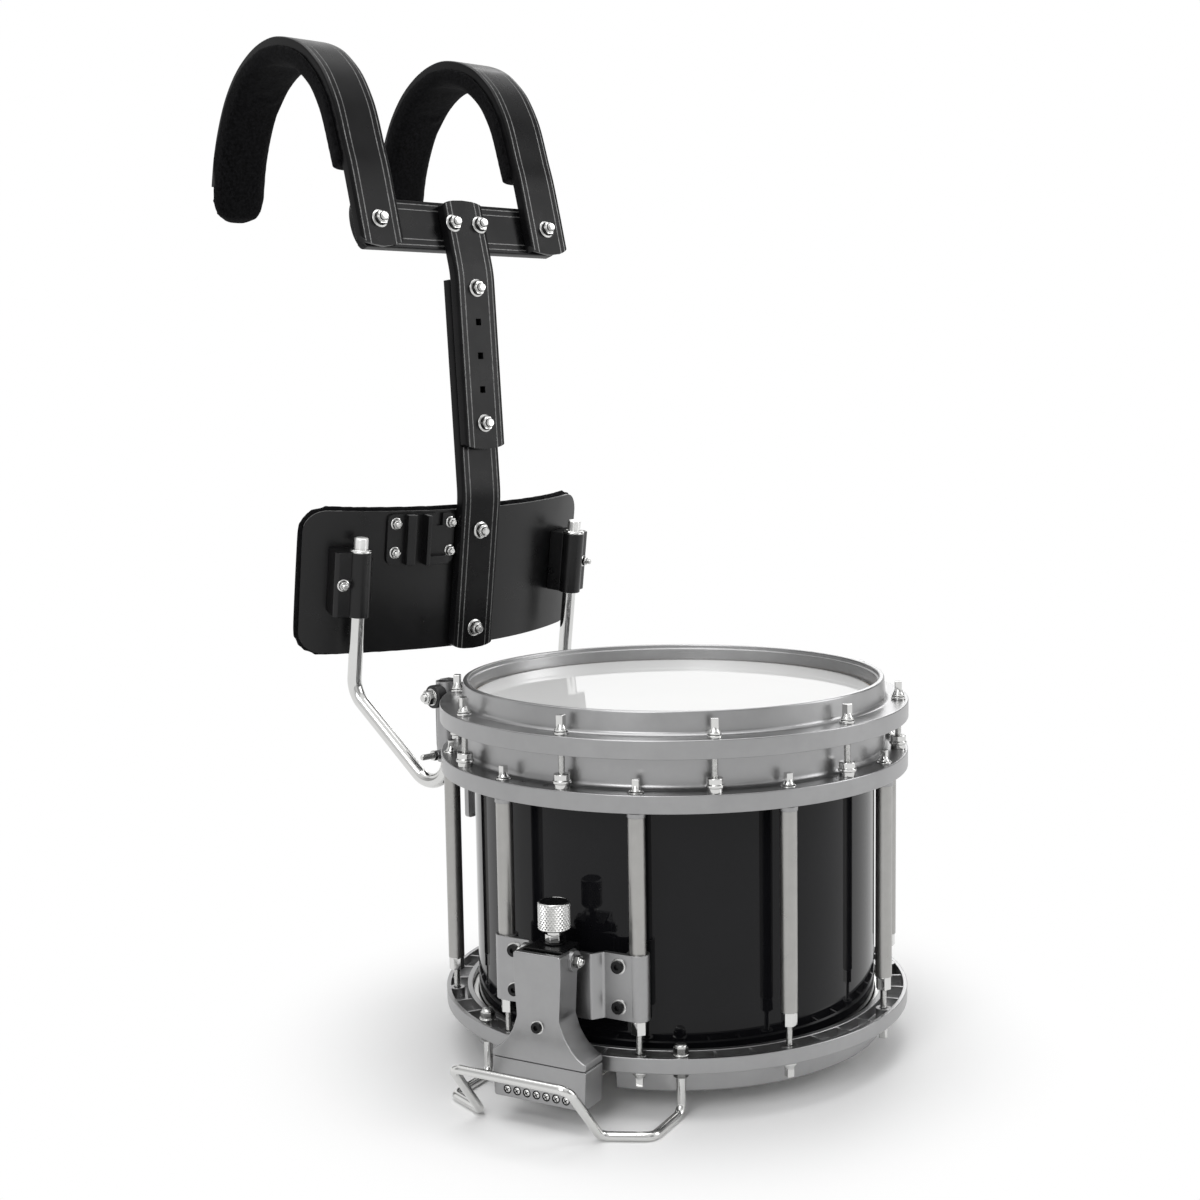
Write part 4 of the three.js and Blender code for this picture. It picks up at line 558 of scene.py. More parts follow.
def evaluated(thing):
    """The mesh of an object with its modifiers applied."""
    graph = bpy.context.evaluated_depsgraph_get()
    return bpy.data.meshes.new_from_object(thing.evaluated_get(graph), preserve_all_data_layers=True,
                                           depsgraph=graph)


def held(mesh, name="work"):
    thing = bpy.data.objects.new(name, mesh)
    bpy.context.scene.collection.objects.link(thing)
    return thing


def carved(body, *tools, operation="DIFFERENCE"):
    """A mesh with other meshes cut out of it."""
    thing = held(body)
    cutters = [held(tool) for tool in tools]
    for cutter in cutters:
        modifier = thing.modifiers.new("cut", "BOOLEAN")
        modifier.operation = operation
        modifier.solver = "EXACT"
        modifier.object = cutter
    result = evaluated(thing)
    for extra in (thing, *cutters):
        bpy.data.objects.remove(extra)
    return result


def chamfered(mesh, width, angle=40, steps=2):
    """A mesh with its sharp edges bevelled after carving."""
    thing = held(mesh)
    modifier = thing.modifiers.new("edges", "BEVEL")
    modifier.width = width
    modifier.segments = steps
    modifier.limit_method = "ANGLE"
    modifier.angle_limit = math.radians(angle)
    result = evaluated(thing)
    bpy.data.objects.remove(thing)
    return result


def painted(mesh, material, test):
    """The same mesh, with another material on the faces that a test picks."""
    mesh.materials.append(material)
    for face in mesh.polygons:
        if test(face):
            face.material_index = len(mesh.materials) - 1
    return mesh


def joined(meshes):
    """One mesh from several, each face with its own material."""
    whole = bmesh.new()
    materials = []
    for mesh in meshes:
        first = len(whole.faces)
        whole.from_mesh(mesh)
        whole.faces.ensure_lookup_table()
        slots = []
        for material in mesh.materials:
            if material not in materials:
                materials.append(material)
            slots.append(materials.index(material))
        for face in whole.faces[first:]:
            face.material_index = slots[min(face.material_index, len(slots) - 1)]
    result = bpy.data.meshes.new("work")
    whole.to_mesh(result)
    whole.free()
    for material in materials:
        result.materials.append(material)
    return result


def piece(name, meshes, place, body, nodes, crease=32):
    """The finished piece: one object at the origin that stands for its CAD nodes."""
    mesh = joined(meshes)
    mesh.transform(place)
    mesh.name = name
    mesh.shade_smooth()
    mesh.set_sharp_from_angle(angle=math.radians(crease))
    thing = held(mesh, name)
    even = thing.modifiers.new("even", "WEIGHTED_NORMAL")
    even.keep_sharp = True
    smooth = evaluated(thing)
    thing.modifiers.remove(even)
    smooth.name = name
    thing.data = smooth
    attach(thing, body)
    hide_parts(*nodes)
    return thing


def pair(noun, meshes, place, body, node):
    """A piece on the right and its mirror image on the left."""
    piece(f"right_{noun}", meshes, place, body, [f"{node}_right"])
    piece(f"left_{noun}", [mirrored(mesh) for mesh in meshes], place, body, [f"{node}_left"])


# Repeats, made by node trees.

def node_tree(name, inputs):
    """An empty node tree for a modifier, with named inputs."""
    tree = bpy.data.node_groups.new(name, "GeometryNodeTree")
    tree.interface.new_socket("Geometry", in_out="INPUT", socket_type="NodeSocketGeometry")
    for label, kind in inputs:
        tree.interface.new_socket(label, in_out="INPUT", socket_type=f"NodeSocket{kind}")
    tree.interface.new_socket("Geometry", in_out="OUTPUT", socket_type="NodeSocketGeometry")
    start, end = tree.nodes.new("NodeGroupInput"), tree.nodes.new("NodeGroupOutput")

    def node(kind, *links, **values):
        made_node = tree.nodes.new(kind)
        for key, value in values.items():
            setattr(made_node, key, value)
        for socket, source in links:
            if isinstance(source, bpy.types.NodeSocket):
                tree.links.new(source, made_node.inputs[socket])
            else:
                made_node.inputs[socket].default_value = source
        return made_node

    return tree, start, end, node


def finish_tree(tree, start, end, node, points, turns):
    """Copies of the piece on the points, realised and given their material."""
    info = node("GeometryNodeObjectInfo", ("Object", start.outputs["Piece"]))
    copies = node("GeometryNodeInstanceOnPoints", ("Points", points), ("Instance", info.outputs["Geometry"]))
    if turns:
        tree.links.new(turns, copies.inputs["Rotation"])
    solid = node("GeometryNodeRealizeInstances", ("Geometry", copies.outputs[0]))
    coat = node("GeometryNodeSetMaterial", ("Geometry", solid.outputs[0]),
                ("Material", start.outputs["Material"]))
    tree.links.new(coat.outputs[0], end.inputs[0])
    return tree


def ring_tree():
    """Copies of a piece round Z, each turned to look outwards."""
    if "Ring of pieces" in bpy.data.node_groups:
        return bpy.data.node_groups["Ring of pieces"]
    tree, start, end, node = node_tree("Ring of pieces", [
        ("Piece", "Object"), ("Count", "Int"), ("Radius", "Float"), ("Start", "Float"),
        ("Material", "Material"),
    ])
    index = node("GeometryNodeInputIndex")
    step = node("ShaderNodeMath", (0, TAU), (1, start.outputs["Count"]), operation="DIVIDE")
    angle = node("ShaderNodeMath", (0, index.outputs[0]), (1, step.outputs[0]), (2, start.outputs["Start"]),
                 operation="MULTIPLY_ADD")
    across = node("ShaderNodeMath", (0, angle.outputs[0]), operation="COSINE")
    along = node("ShaderNodeMath", (0, angle.outputs[0]), operation="SINE")
    unit = node("ShaderNodeCombineXYZ", (0, across.outputs[0]), (1, along.outputs[0]))
    place = node("ShaderNodeVectorMath", (0, unit.outputs[0]), operation="SCALE")
    tree.links.new(start.outputs["Radius"], place.inputs["Scale"])
    points = node("GeometryNodePoints", ("Count", start.outputs["Count"]), ("Position", place.outputs[0]))
    turn = node("ShaderNodeCombineXYZ", (2, angle.outputs[0]))
    return finish_tree(tree, start, end, node, points.outputs[0], turn.outputs[0])


def row_tree():
    """Copies of a piece in a straight row, its middle at the origin."""
    if "Row of pieces" in bpy.data.node_groups:
        return bpy.data.node_groups["Row of pieces"]
    tree, start, end, node = node_tree("Row of pieces", [
        ("Piece", "Object"), ("Count", "Int"), ("Pitch", "Vector"), ("Material", "Material"),
    ])
    index = node("GeometryNodeInputIndex")
    last = node("ShaderNodeMath", (0, start.outputs["Count"]), (1, 1.0), operation="SUBTRACT")
    middle = node("ShaderNodeMath", (0, last.outputs[0]), (1, 0.5), operation="MULTIPLY")
    steps = node("ShaderNodeMath", (0, index.outputs[0]), (1, middle.outputs[0]), operation="SUBTRACT")
    place = node("ShaderNodeVectorMath", (0, start.outputs["Pitch"]), operation="SCALE")
    tree.links.new(steps.outputs[0], place.inputs["Scale"])
    points = node("GeometryNodePoints", ("Count", start.outputs["Count"]), ("Position", place.outputs[0]))
    return finish_tree(tree, start, end, node, points.outputs[0], None)


def repeated(tree, mesh, **values):
    """The plain mesh that a tree makes from one piece and its named inputs."""
    pattern, carrier = held(mesh, "pattern"), held(bpy.data.meshes.new("carrier"), "repeat")
    modifier = carrier.modifiers.new("repeat", "NODES")
    modifier.node_group = tree
    values.update(Piece=pattern, Material=mesh.materials[0])
    for item in tree.interface.items_tree:
        if item.item_type == "SOCKET" and item.in_out == "INPUT" and item.name in values:
            modifier[item.identifier] = values[item.name]
    result = evaluated(carrier)
    for extra in (carrier, pattern):
        bpy.data.objects.remove(extra)
    return result


def ring_of(mesh, radius, start):
    """Ten copies of a piece round the drum, one for each rod."""
    return repeated(ring_tree(), mesh, Count=RODS, Radius=float(radius), Start=float(start))


def row_of(mesh, count, pitch):
    return repeated(row_tree(), mesh, Count=count, Pitch=pitch)


# The drum.

def shell_and_heads():
    """Lacquered shell and its two coated heads with their flesh hoops."""
    s = drum_sizes()
    top, foot = s.head_height - 1.1, -s.head_drop + 1.1
    outer, inner = s.shell_radius, s.shell_radius - s.shell_wall
    wall = turned([(outer, foot), (outer, top), (inner, top), (inner, foot)], shell_gloss(), around=256,
                  radii={0: 0.8, 1: 0.8, 2: 4, 3: 4})
    painted(wall, plywood(), lambda face: face.center.xy.length < outer - 0.5)
    piece("drum_shell", [wall], DRUM, "drum", ["shell"])

    def drumhead(plane, side):
        """A head's film and its flesh hoop, from the film's plane towards the shell."""
        reach = outer + 1.1

        def level(drop):
            return plane - side * drop

        profile = [*((r, plane) for r in (0, 40, 80, 120, 150, outer - 9)), (outer - 4, level(0.15)),
                   (outer - 1.2, level(0.9)), (reach - 0.2, level(2.4)), (reach, level(4)), (reach, level(9)),
                   (reach - 0.8, level(9)), (reach - 0.8, level(3)), (outer - 2.2, level(1.5)),
                   (outer - 6, level(0.8)), (0, level(0.8))]
        film_mesh = turned(profile, film(), around=192)
        hoop = turned([(reach - 0.8, level(8.6)), (reach + 4.4, level(8.6)), (reach + 4.4, level(15)),
                       (reach - 0.8, level(15))], knurled(), soft=1.6, around=192)
        return [film_mesh, hoop]

    piece("batter_skin", drumhead(s.head_height, 1), DRUM, "drum", ["batter_head"])
    piece("snare_skin", drumhead(-s.head_drop, -1), DRUM, "drum", ["snare_head"])


def hoop_casting(face, side, skirt, rise, head_plane, first, circle, s):
    """A cast hoop: collar, flange and skirt, with bored bosses and webs in the open pocket."""
    def level(drop):
        return face - side * drop

    metal = cast_satin()
    step = head_plane - side * 8.7
    edge, root, top = s.flange_radius, 184.2, 183.0
    inside = s.shell_radius + 5.8
    corner_radii = [1.0, 0.3, 0.3, 1.3, 1.6, 1.2, 1.6, 1.1, 0.7, 0.7, 1.2, 1.2, 0.7, 0.7, 0.8]
    body = turned([
        (s.shell_radius + 2.1, step), (top - 5.6, level(4.2 - rise)), (top - 4.3, level(3.4 - rise)),
        (top - 4.3, level(-rise)), (top, level(-rise)), (root, level(-2.2)),
        (root + 2.2, face), (edge, face), (edge, level(skirt)), (edge - 3.7, level(skirt)),
        (edge - 3.7, level(4.2)), (inside + 4.7, level(4.2)), (inside + 4.7, level(skirt)),
        (inside, level(skirt)), (inside, step),
    ], metal, around=288, steps=4, radii=dict(enumerate(corner_radii)))
    low, high = sorted((level(3.2), level(skirt)))
    boss = cylinder(3.2, 6.5, low, high, metal, soft=0.5, around=32)
    web = block((inside + 3.5 - circle, edge - 2.5 - circle), (-1.2, 1.2),
                sorted((level(3.2), level(skirt - 1.6))), metal, bevel=0.4)
    pieces = [body, ring_of(boss, circle, first)]
    pieces += [ring_of(web, circle, first + STEP * share) for share in (0.25, 0.5, 0.75)]
    return pieces


def lower_hoop(s, metal):
    """Lower hoop with a gate for the strands on each side and holes for the bails' legs."""
    skirt, rise = 12.7, 21.8
    body, *fittings = hoop_casting(-skirt, -1, skirt, rise, -s.head_drop, TUBE_START, s.tube_circle, s)
    half, low, high, reach = 36.5, -38, -13.2, 210
    gate = prism(softened([(-half, low), (half, low), (half, high), (-half, high)], 3, 5), -reach, reach,
                 metal, "X", bevel=0)
    body = chamfered(carved(body, gate), 0.5, angle=60)
    hole = cylinder(0, 4.2, -20, 4, metal, around=24)
    turns = (LEG_ANGLE, -LEG_ANGLE, 180 - LEG_ANGLE, 180 + LEG_ANGLE)
    holes = [at(hole, shift(*polar(LEG_RADIUS, math.radians(turn)), 0)) for turn in turns]
    return [carved(body, *holes), *fittings]


def frame_ring(s, metal):
    """Cast ring under the batter hoop, with two sight holes and a seat over each lug tube."""
    top, foot = s.ring_top, s.ring_top - s.ring_depth
    collar = s.flange_height - s.flange_skirt - 0.3
    profile = [
        (178.5, top - 4.2), (178.5, collar), (184, collar), (184, top + 3), (187, top),
        (203.5, top), (203.5, foot), (200, foot), (200, top - 4.2),
    ]
    corner_radii = [1, 0.8, 0.8, 2.4, 2.4, 1.1, 0.7, 0.7, 1.4]
    ring = turned(profile, metal, around=288, steps=4, radii=dict(enumerate(corner_radii)))
    sight = cylinder(0, 2.1, top - 8, top + 3, oxide(), around=20)
    sights = [at(sight, shift(*polar(192, ROD_START + math.radians(turn)), 0)) for turn in (-12.0, -5.1)]
    seat = cylinder(3.2, 8, foot, top - 3, metal, soft=0.6, around=32)
    return [carved(ring, *sights), ring_of(seat, s.tube_circle, TUBE_START)]


def hoops():
    """Batter hoop, lower hoop and frame ring."""
    s = drum_sizes()
    metal = cast_satin()
    upper = hoop_casting(s.flange_height, 1, s.flange_skirt, s.collar_rise, s.head_height, ROD_START,
                         s.rod_circle, s)
    piece("upper_hoop", upper, DRUM, "drum", ["batter_hoop"])
    piece("lower_hoop", lower_hoop(s, metal), DRUM, "drum", ["snare_hoop"])
    piece("ring_casting", frame_ring(s, metal), DRUM, "drum", ["frame_ring"])


def key_head(width, height, material):
    """Square key head standing on a rounded cone."""
    half = width / 2
    outline = softened([(-half, -half), (half, -half), (half, half), (-half, half)], 0.7, 3)
    square = prism(outline, 0, height, material, bevel=0.55)
    cone = turned([(0, 0), (half + 1.9, 0), (half + 1.7, 0.9), (half + 0.7, 2.6), (half - 0.1, 4.6),
                   (half - 0.4, 5.4), (0, 5.4)], material, soft=0.4, around=32)
    return [square, cone]


def numbered(name):
    """The ten CAD nodes of a repeated piece."""
    return [f"{name}_{i:02d}" for i in range(1, RODS + 1)]


def batter_rods(s):
    """Ten tension rods with square key heads, on dark shims and bright cups."""
    bright, grey = chrome(), zinc()
    seat = s.flange_height + 0.05
    cup = cylinder(0, 6.1, 0, 2.3, bright, soft=0.5, around=40)
    shims = joined([cylinder(0, 5.3, low, low + 0.5, oxide(), around=32) for low in (-0.02, 2.25)])
    disc = cylinder(0, 5.5, 2.7, 4.2, bright, soft=0.45, around=40)
    heads = [at(mesh, shift(0, 0, 4.1)) for mesh in key_head(s.key_width, s.key_height + 0.5, bright)]
    low = s.ring_top + 3.3
    stem = cylinder(0, 2.4, low, seat, grey, around=20)
    turns = thread(s.rod_radius, low + 6, s.flange_height - 3, s.thread_pitch, grey, around=20)
    top = [at(mesh, shift(0, 0, seat)) for mesh in (joined([cup, disc, *heads]), shims)]
    pieces = [ring_of(mesh, s.rod_circle, ROD_START) for mesh in (*top, joined([stem, turns]))]
    piece("tension_rods", pieces, DRUM, "drum", numbered("batter_rod"))


def receivers(s):
    """Ten stepped sleeves on the frame ring that the batter rods screw into."""
    bright = chrome()
    base = cylinder(2.9, 6.2, 0.05, 3.9, bright, soft=0.3, around=40)
    line = cylinder(2.9, 5.7, 3.8, 4.4, oxide(), around=40)
    sleeve = turned([(2.9, 4.3), (7.5, 4.3), (7.5, 6.5), (6.6, 6.9), (6.6, 11.4), (6.0, 12), (2.9, 12)],
                    bright, soft=0.4, around=40)
    return [ring_of(at(mesh, shift(0, 0, s.ring_top)), s.rod_circle, ROD_START)
            for mesh in (joined([base, sleeve]), line)]


def lug_tubes(s):
    """Ten tubes from the frame ring down, with their collars, hexagon inserts and upper screws."""
    bright = chrome()
    top, foot = s.ring_top - s.ring_depth - 0.3, 27.5
    tube = cylinder(3, s.tube_radius, foot, top - 3.6, tube_satin(), soft=0.4, around=48)
    collar = cylinder(3, 7.6, top - 4, top, cast_satin(), soft=0.8, around=48)
    insert = prism(softened(polygon(6.6, 6), 0.35, 2), foot - 11, foot + 0.5, bright, bevel=0.5)
    ledge = cylinder(3.1, 6.3, foot - 0.9, foot + 0.1, bright, around=40)
    seat = s.ring_top + 0.05
    washer = turned([(0, 0), (6.6, 0), (6.6, 0.7), (5.2, 1.7), (0, 1.7)], bright, soft=0.3, around=40)
    heads = [at(mesh, shift(0, 0, 1.5)) for mesh in key_head(5.6, 9.5, bright)]
    screw = at(joined([washer, *heads]), shift(0, 0, seat))
    meshes = (tube, collar, joined([insert, ledge]), screw)
    return [ring_of(mesh, s.tube_circle, TUBE_START) for mesh in meshes]


def lower_rods(s):
    """Ten rods with key heads under the lower hoop, screwed up into the tubes' inserts."""
    bright, grey = chrome(), zinc()
    seat = -12.75
    cup = turned([(0, -3.5), (5.6, -3.5), (6.1, -2), (6.1, 0), (0, 0)], bright, soft=0.5, around=40)
    head = [at(mesh, spin(180, "X"), shift(0, 0, -3.4)) for mesh in key_head(s.key_width, 10, bright)]
    stem = cylinder(0, 2.4, -2, 40, grey, around=20)
    turns = thread(s.rod_radius, 13, 29.5, s.thread_pitch, grey, around=20)
    lower = [at(joined(parts), shift(0, 0, seat)) for parts in ([cup, *head], [stem, turns])]
    pieces = [ring_of(mesh, s.tube_circle, TUBE_START) for mesh in lower]
    piece("lower_rods", pieces, DRUM, "drum", numbered("snare_rod"))


def tubes():
    """The batter rods, the lug tubes with the receivers between them, and the lower rods."""
    s = drum_sizes()
    batter_rods(s)
    piece("lug_tubes", [*lug_tubes(s), *receivers(s)], DRUM, "drum", numbered("lug_tube"))
    lower_rods(s)


def hex_nut(radius, low, high, bevel=0.5):
    """Hexagon nut on Z: bright on its ends, its flats painted darker as painted shade."""
    nut = prism(softened(polygon(radius, 6), 0.3, 2), low, high, zinc(), bevel=bevel)
    # The upright flats take the darker zinc: painted shade.
    return painted(nut, zinc_for_threads_and_shade(), lambda face: abs(face.normal.z) < 0.3)


# Strainer, butt and strands.

def socket_screw(radius, height, material, socket=1.8):
    """A socket-head screw on Z, its head upwards from zero."""
    head = cylinder(0, radius, -1, height, material, soft=0.5, around=36)
    hexagon = prism(polygon(socket, 6), height - 2, height + 1, material, bevel=0)
    return carved(head, hexagon)


def cross_screw(material):
    """A small pan-head screw on Z, and a dark oxide cross just proud of its head, painted shade for the cross
    recess.
    """
    head = turned([(0, -1.6), (2.7, -1.6), (2.6, 0.0), (1.6, 0.7), (0, 0.9)], material, soft=0.4, around=32)
    # The cross is a black oxide block that stands for the shade in the recess: painted shade.
    arm = block((-1.9, 1.9), (-0.45, 0.45), (0.2, 0.98), oxide(), bevel=0.1)
    turned_arms = [at(arm, spin(angle)) for angle in (35, 125)]
    return head, joined(turned_arms)


def clamp_plate(s, material):
    """Stepped plate on two lug tubes, with a round boss on each and four socket screws."""
    x, y = s.tube_circle * math.cos(STEP / 2), s.tube_circle * math.sin(STEP / 2)
    inner, outer, low, high = x + 4.6, x + 9.2, 28.2, 81.8
    path = [(y, 0), (34, 0), (28, 9), (-28, 9), (-34, 0), (-y, 0)]
    outline = [(-(outer + step), across) for across, step in path]
    outline += [(-(inner + step), across) for across, step in reversed(path)]
    plate = prism(softened(outline, 1.6, 3), low, high, material, bevel=0.7)
    boss = cylinder(6.95, 9.2, low, high, material, soft=0.8, around=48)
    washer = turned([(4.4, -0.2), (6.3, -0.2), (6.3, 0.7), (5.2, 1.0), (4.4, 1.0)], zinc(), around=48)
    screw = joined([socket_screw(5.1, 3.9, oxide(), 2.4), washer])
    screws = [at(screw, aimed((-outer, across, z), (-1, 0, 0)))
              for across in (-47.6, 47.6) for z in (39.2, 72)]
    return [plate, at(boss, shift(-x, y, 0)), at(boss, shift(-x, -y, 0)), *screws]


def arm_outline():
    """Front outline of the throw arm: straight ears, a waist and a flare to its foot."""
    shares = [(1.00, 0.00), (0.86, 0.05), (0.66, 0.16), (0.42, 0.34), (0.18, 0.62), (0.00, 1.00)]
    side = [(42, 0.3), (42, 6), *[(18.9 + 23.1 * a, 6 + 30 * b) for a, b in shares[1:]], (21, 71.5), (21, 88)]
    return side + [(-y, z) for y, z in reversed(side)]


def strainer_mount(s, metal, bright, black):
    """Clamp plate with the pivot block and the pivot bolt's two ends."""
    # The pivot block is black oxide: painted shade that stands for the dark inside of the throw arm's hollow.
    pivot_block = chamfered(block((-229.5, -200), (-17, 17), (65, 89), black, bevel=1.2), 0.1)
    span = 23.9
    bolt = cylinder(0, 3, -span - 3, span + 3, bright, around=24)
    nut = hex_nut(5.2, span + 0.2, span + 4, 0.4)
    dome = turned([(0, span + 4), (3.6, span + 4), (3.4, span + 5.2), (2.2, span + 6.4), (0, span + 6.7)],
                  bright, soft=0.4, around=28)
    head = cylinder(0, 5.2, -span - 4, -span - 0.2, bright, soft=0.6, around=32)
    axis = aimed(PIVOT, (0, -1, 0))
    return [*clamp_plate(s, metal), pivot_block, *(at(mesh, axis) for mesh in (bolt, nut, dome, head))]


def throw_arm(metal, black):
    """Flared arm, hollow behind, with an ear on each side and its black socket screw."""
    body = prism(softened(arm_outline(), 2.2, 4), ARM_FRONT, ARM_BACK, metal, "X", bevel=0)
    hollow = block((-233.8, -205), (-17.3, 17.3), (36, 95), metal, bevel=1.5)
    body = chamfered(carved(body, hollow), 1.0, angle=50, steps=3)
    ear = cylinder(0, 8.5, 19, 23.6, metal, soft=0.5, around=40)
    bore = at(cylinder(0, 3.4, -30, 30, metal, around=24), aimed(PIVOT, (0, 1, 0)))
    ears = [at(ear, aimed(PIVOT, (0, side, 0))) for side in (-1, 1)]
    screw = socket_screw(4.4, 3.2, black, 2.2)
    rim = turned([(4.0, -0.2), (5.6, -0.2), (5.5, 0.5), (4.8, 0.8), (4.0, 0.8)], zinc(), around=48)
    front = aimed((ARM_FRONT, 0, 30), (-1, 0, 0))
    return [*(carved(mesh, bore) for mesh in (body, *ears)), *(at(mesh, front) for mesh in (screw, rim))]


def strand_block(metal, black):
    """Block under the throw arm, open behind for the strands, with its row of cross screws."""
    level, aside = -25.1, 2.3
    outline = softened([(42, 0), (40.6, -31.3), (-40.6, -31.3), (-42, 0)], 1.8, 4)
    body = prism(outline, ARM_FRONT, ARM_BACK, metal, "X", bevel=0)
    slot = block((-229, -205), (-34, 34), (-28.3, -13.3), metal, bevel=0.5)
    body = chamfered(carved(body, slot), 0.8, angle=50, steps=3)
    face = aimed((ARM_FRONT, 0, level), (-1, 0, 0))
    # Shallow wells round the screws; their faces are painted black oxide as painted shade in the recesses.
    well = cylinder(0, 3.6, -1.5, 2, black, around=32)
    first = -(STRAND_SCREWS - 1) / 2
    wells = [at(well, face, shift(0, SCREW_PITCH * (first + i) + aside, 0)) for i in range(STRAND_SCREWS)]

    def shaded_well(found):
        behind = found.center.x - ARM_FRONT
        return 0.1 < behind < 1.9 and abs(found.center.z - level) < 3.8

    body = painted(carved(body, *wells), black, shaded_well)
    screws = [at(mesh, face, shift(0, aside, 0)) for mesh in cross_screw(knurled())]
    return [body, *(row_of(mesh, STRAND_SCREWS, (0, SCREW_PITCH, 0)) for mesh in screws)]


def knob_meshes(s, bright, black):
    """Knurled knob over its stem nut."""
    r, foot, top = s.knob_radius, 100.5, 122.8
    around, rows = 52, 11
    low, high = foot + 1.3, top - 0.9
    verts, faces = [], []
    for j in range(rows + 1):
        z = low + (high - low) * j / rows
        for k in range(around):
            size = r - (0.0 if (k + j) % 2 == 0 else 0.95)
            verts.append((*polar(size, TAU * k / around), z))
    for j in range(rows):
        for k in range(around):
            n = (k + 1) % around
            a, b, c, d = j * around + k, j * around + n, (j + 1) * around + n, (j + 1) * around + k
            faces += [(a, b, c), (a, c, d)] if (k + j) % 2 else [(a, b, d), (b, c, d)]
    faces += [list(range(around))[::-1], list(range(rows * around, (rows + 1) * around))]
    # The knurl's downward facets are painted in plain zinc, darker than the knurled plating: painted shade
    # under each diamond.
    knurl = painted(made(verts, faces, knurled()), zinc(), lambda face: face.normal.z < -0.05)
    base = turned([(0, foot), (r - 1.4, foot), (r - 0.5, foot + 0.9), (r - 0.5, foot + 1.4), (0, foot + 1.4)],
                  bright, soft=0.3, around=96)
    cap = turned([(0, high - 0.1), (r - 0.5, high - 0.1), (r - 0.5, high + 0.3), (r - 1.1, top),
                  (r - 1.6, top), (r - 2.0, top - 0.4), (0, top - 0.4)], bright, soft=0.2, around=96)
    # The cap's flat top is painted black oxide: painted shade and painted dark reflection of its recessed
    # top.
    painted(cap, black, lambda face: face.center.xy.length < r - 1.7 and face.center.z > high + 0.2)
    nut = prism(softened(polygon(7.4, 6), 0.4, 2), 90.4, 96.5, bright, bevel=0.6)
    neck = cylinder(0, 5.6, 95, 100.7, bright, around=40)
    washer = cylinder(0, 8.4, 89.35, 90.3, black, soft=0.3, around=48)
    return [knurl, base, cap, nut, neck, washer]


def strainer():
    """Clamp mount with its pivot, throw arm, strand block and knurled tension knob."""
    s = drum_sizes()
    metal, bright, black = cast_satin(), chrome(), oxide()
    mount = strainer_mount(s, metal, bright, black)
    piece("strainer_casting", mount, DRUM, "drum", ["strainer_mount"])
    piece("lever_casting", throw_arm(metal, black), DRUM, "throw_arm", ["throw_arm"])
    piece("strand_clamp", strand_block(metal, black), DRUM, "strand_block", ["strand_block"])
    piece("knob", knob_meshes(s, bright, black), DRUM @ shift(-211, 0, 0), "tension_knob", ["tension_knob"],
          crease=12)


def strands_and_butt():
    """Coiled strands under the snare head, their end bars and the butt plate."""
    s = drum_sizes()
    metal, wires = cast_satin(), strand_wire()
    level = -s.head_drop - 0.9
    half, count = 222, s.strands
    coil = thread(0.6, -half + 6, half - 6, 1.6, wires, around=8)
    strand = at(coil, spin(90, "Y"), shift(0, 0, level))
    wide = (count - 1) * s.strand_pitch / 2 + 1.2
    bars = [block(sorted((side * 226, side * 218)), (-wide, wide), (level - 1.5, level + 1.5), zinc(),
                  bevel=0.5) for side in (-1, 1)]
    strands = row_of(strand, count, (0, s.strand_pitch, 0))
    piece("strands", [strands, *bars], DRUM, "drum", ["snare_strands"])

    turn = spin(180)
    neck = block((-215.6, -198), (-18, 18), (0.4, 77.2), metal, bevel=1.2)
    box = block((-229.3, -203.7), (-38, 38), (-31.3, 6), metal, bevel=1.6)
    slot = block((-226.3, -198), (-34, 34), (-28.3, -13.3), metal, bevel=0.4)
    box = carved(box, slot)
    screw = at(socket_screw(2.5, 1.0, oxide(), 1.2), aimed((-229.3, 0, -24), (-1, 0, 0)))
    row = row_of(screw, STRAND_SCREWS, (0, SCREW_PITCH, 0))
    meshes = [at(mesh, turn) for mesh in (*clamp_plate(s, metal), neck, box, row)]
    piece("butt_casting", meshes, DRUM, "drum", ["butt_plate"])


def bails():
    """Two wire bails with their nuts, one under the strainer and one under the butt."""
    s = drum_sizes()
    across, aside = polar(LEG_RADIUS, math.radians(LEG_ANGLE))
    foot = -47.5
    half = [(-across, aside, 8), (-across, aside, foot), (-221.9, 90.6, foot), (-239, 54.1, foot),
            (-282.4, 51.8, 3.4)]
    points = half + [(x, -y, z) for x, y, z in reversed(half)]
    wire = rod(bent(points, [9] * (len(points) - 2), 9), s.bail_wire, chrome(), 24)
    nut = hex_nut(6.0, 0, 5)
    washer = turned([(0, 0), (7.2, 0), (7.0, 1.3), (5.2, 1.9), (0, 1.9)], zinc(), soft=0.4, around=40)
    crown = turned([(0, 0), (5.2, 0), (4.9, 1.8), (3.2, 2.9), (0, 3.0)], zinc(), soft=0.5, around=36)
    meshes = [wire]
    for y in (-aside, aside):
        meshes += [at(mesh, shift(-across, y, z))
                   for mesh, z in ((washer, 0.25), (nut, 1.6), (crown, 6.4), (nut, -18.2))]
    piece("strainer_wire", meshes, DRUM, "drum", ["strainer_bail"])
    piece("butt_wire", [at(mesh, spin(180)) for mesh in meshes], DRUM, "drum", ["butt_bail"])


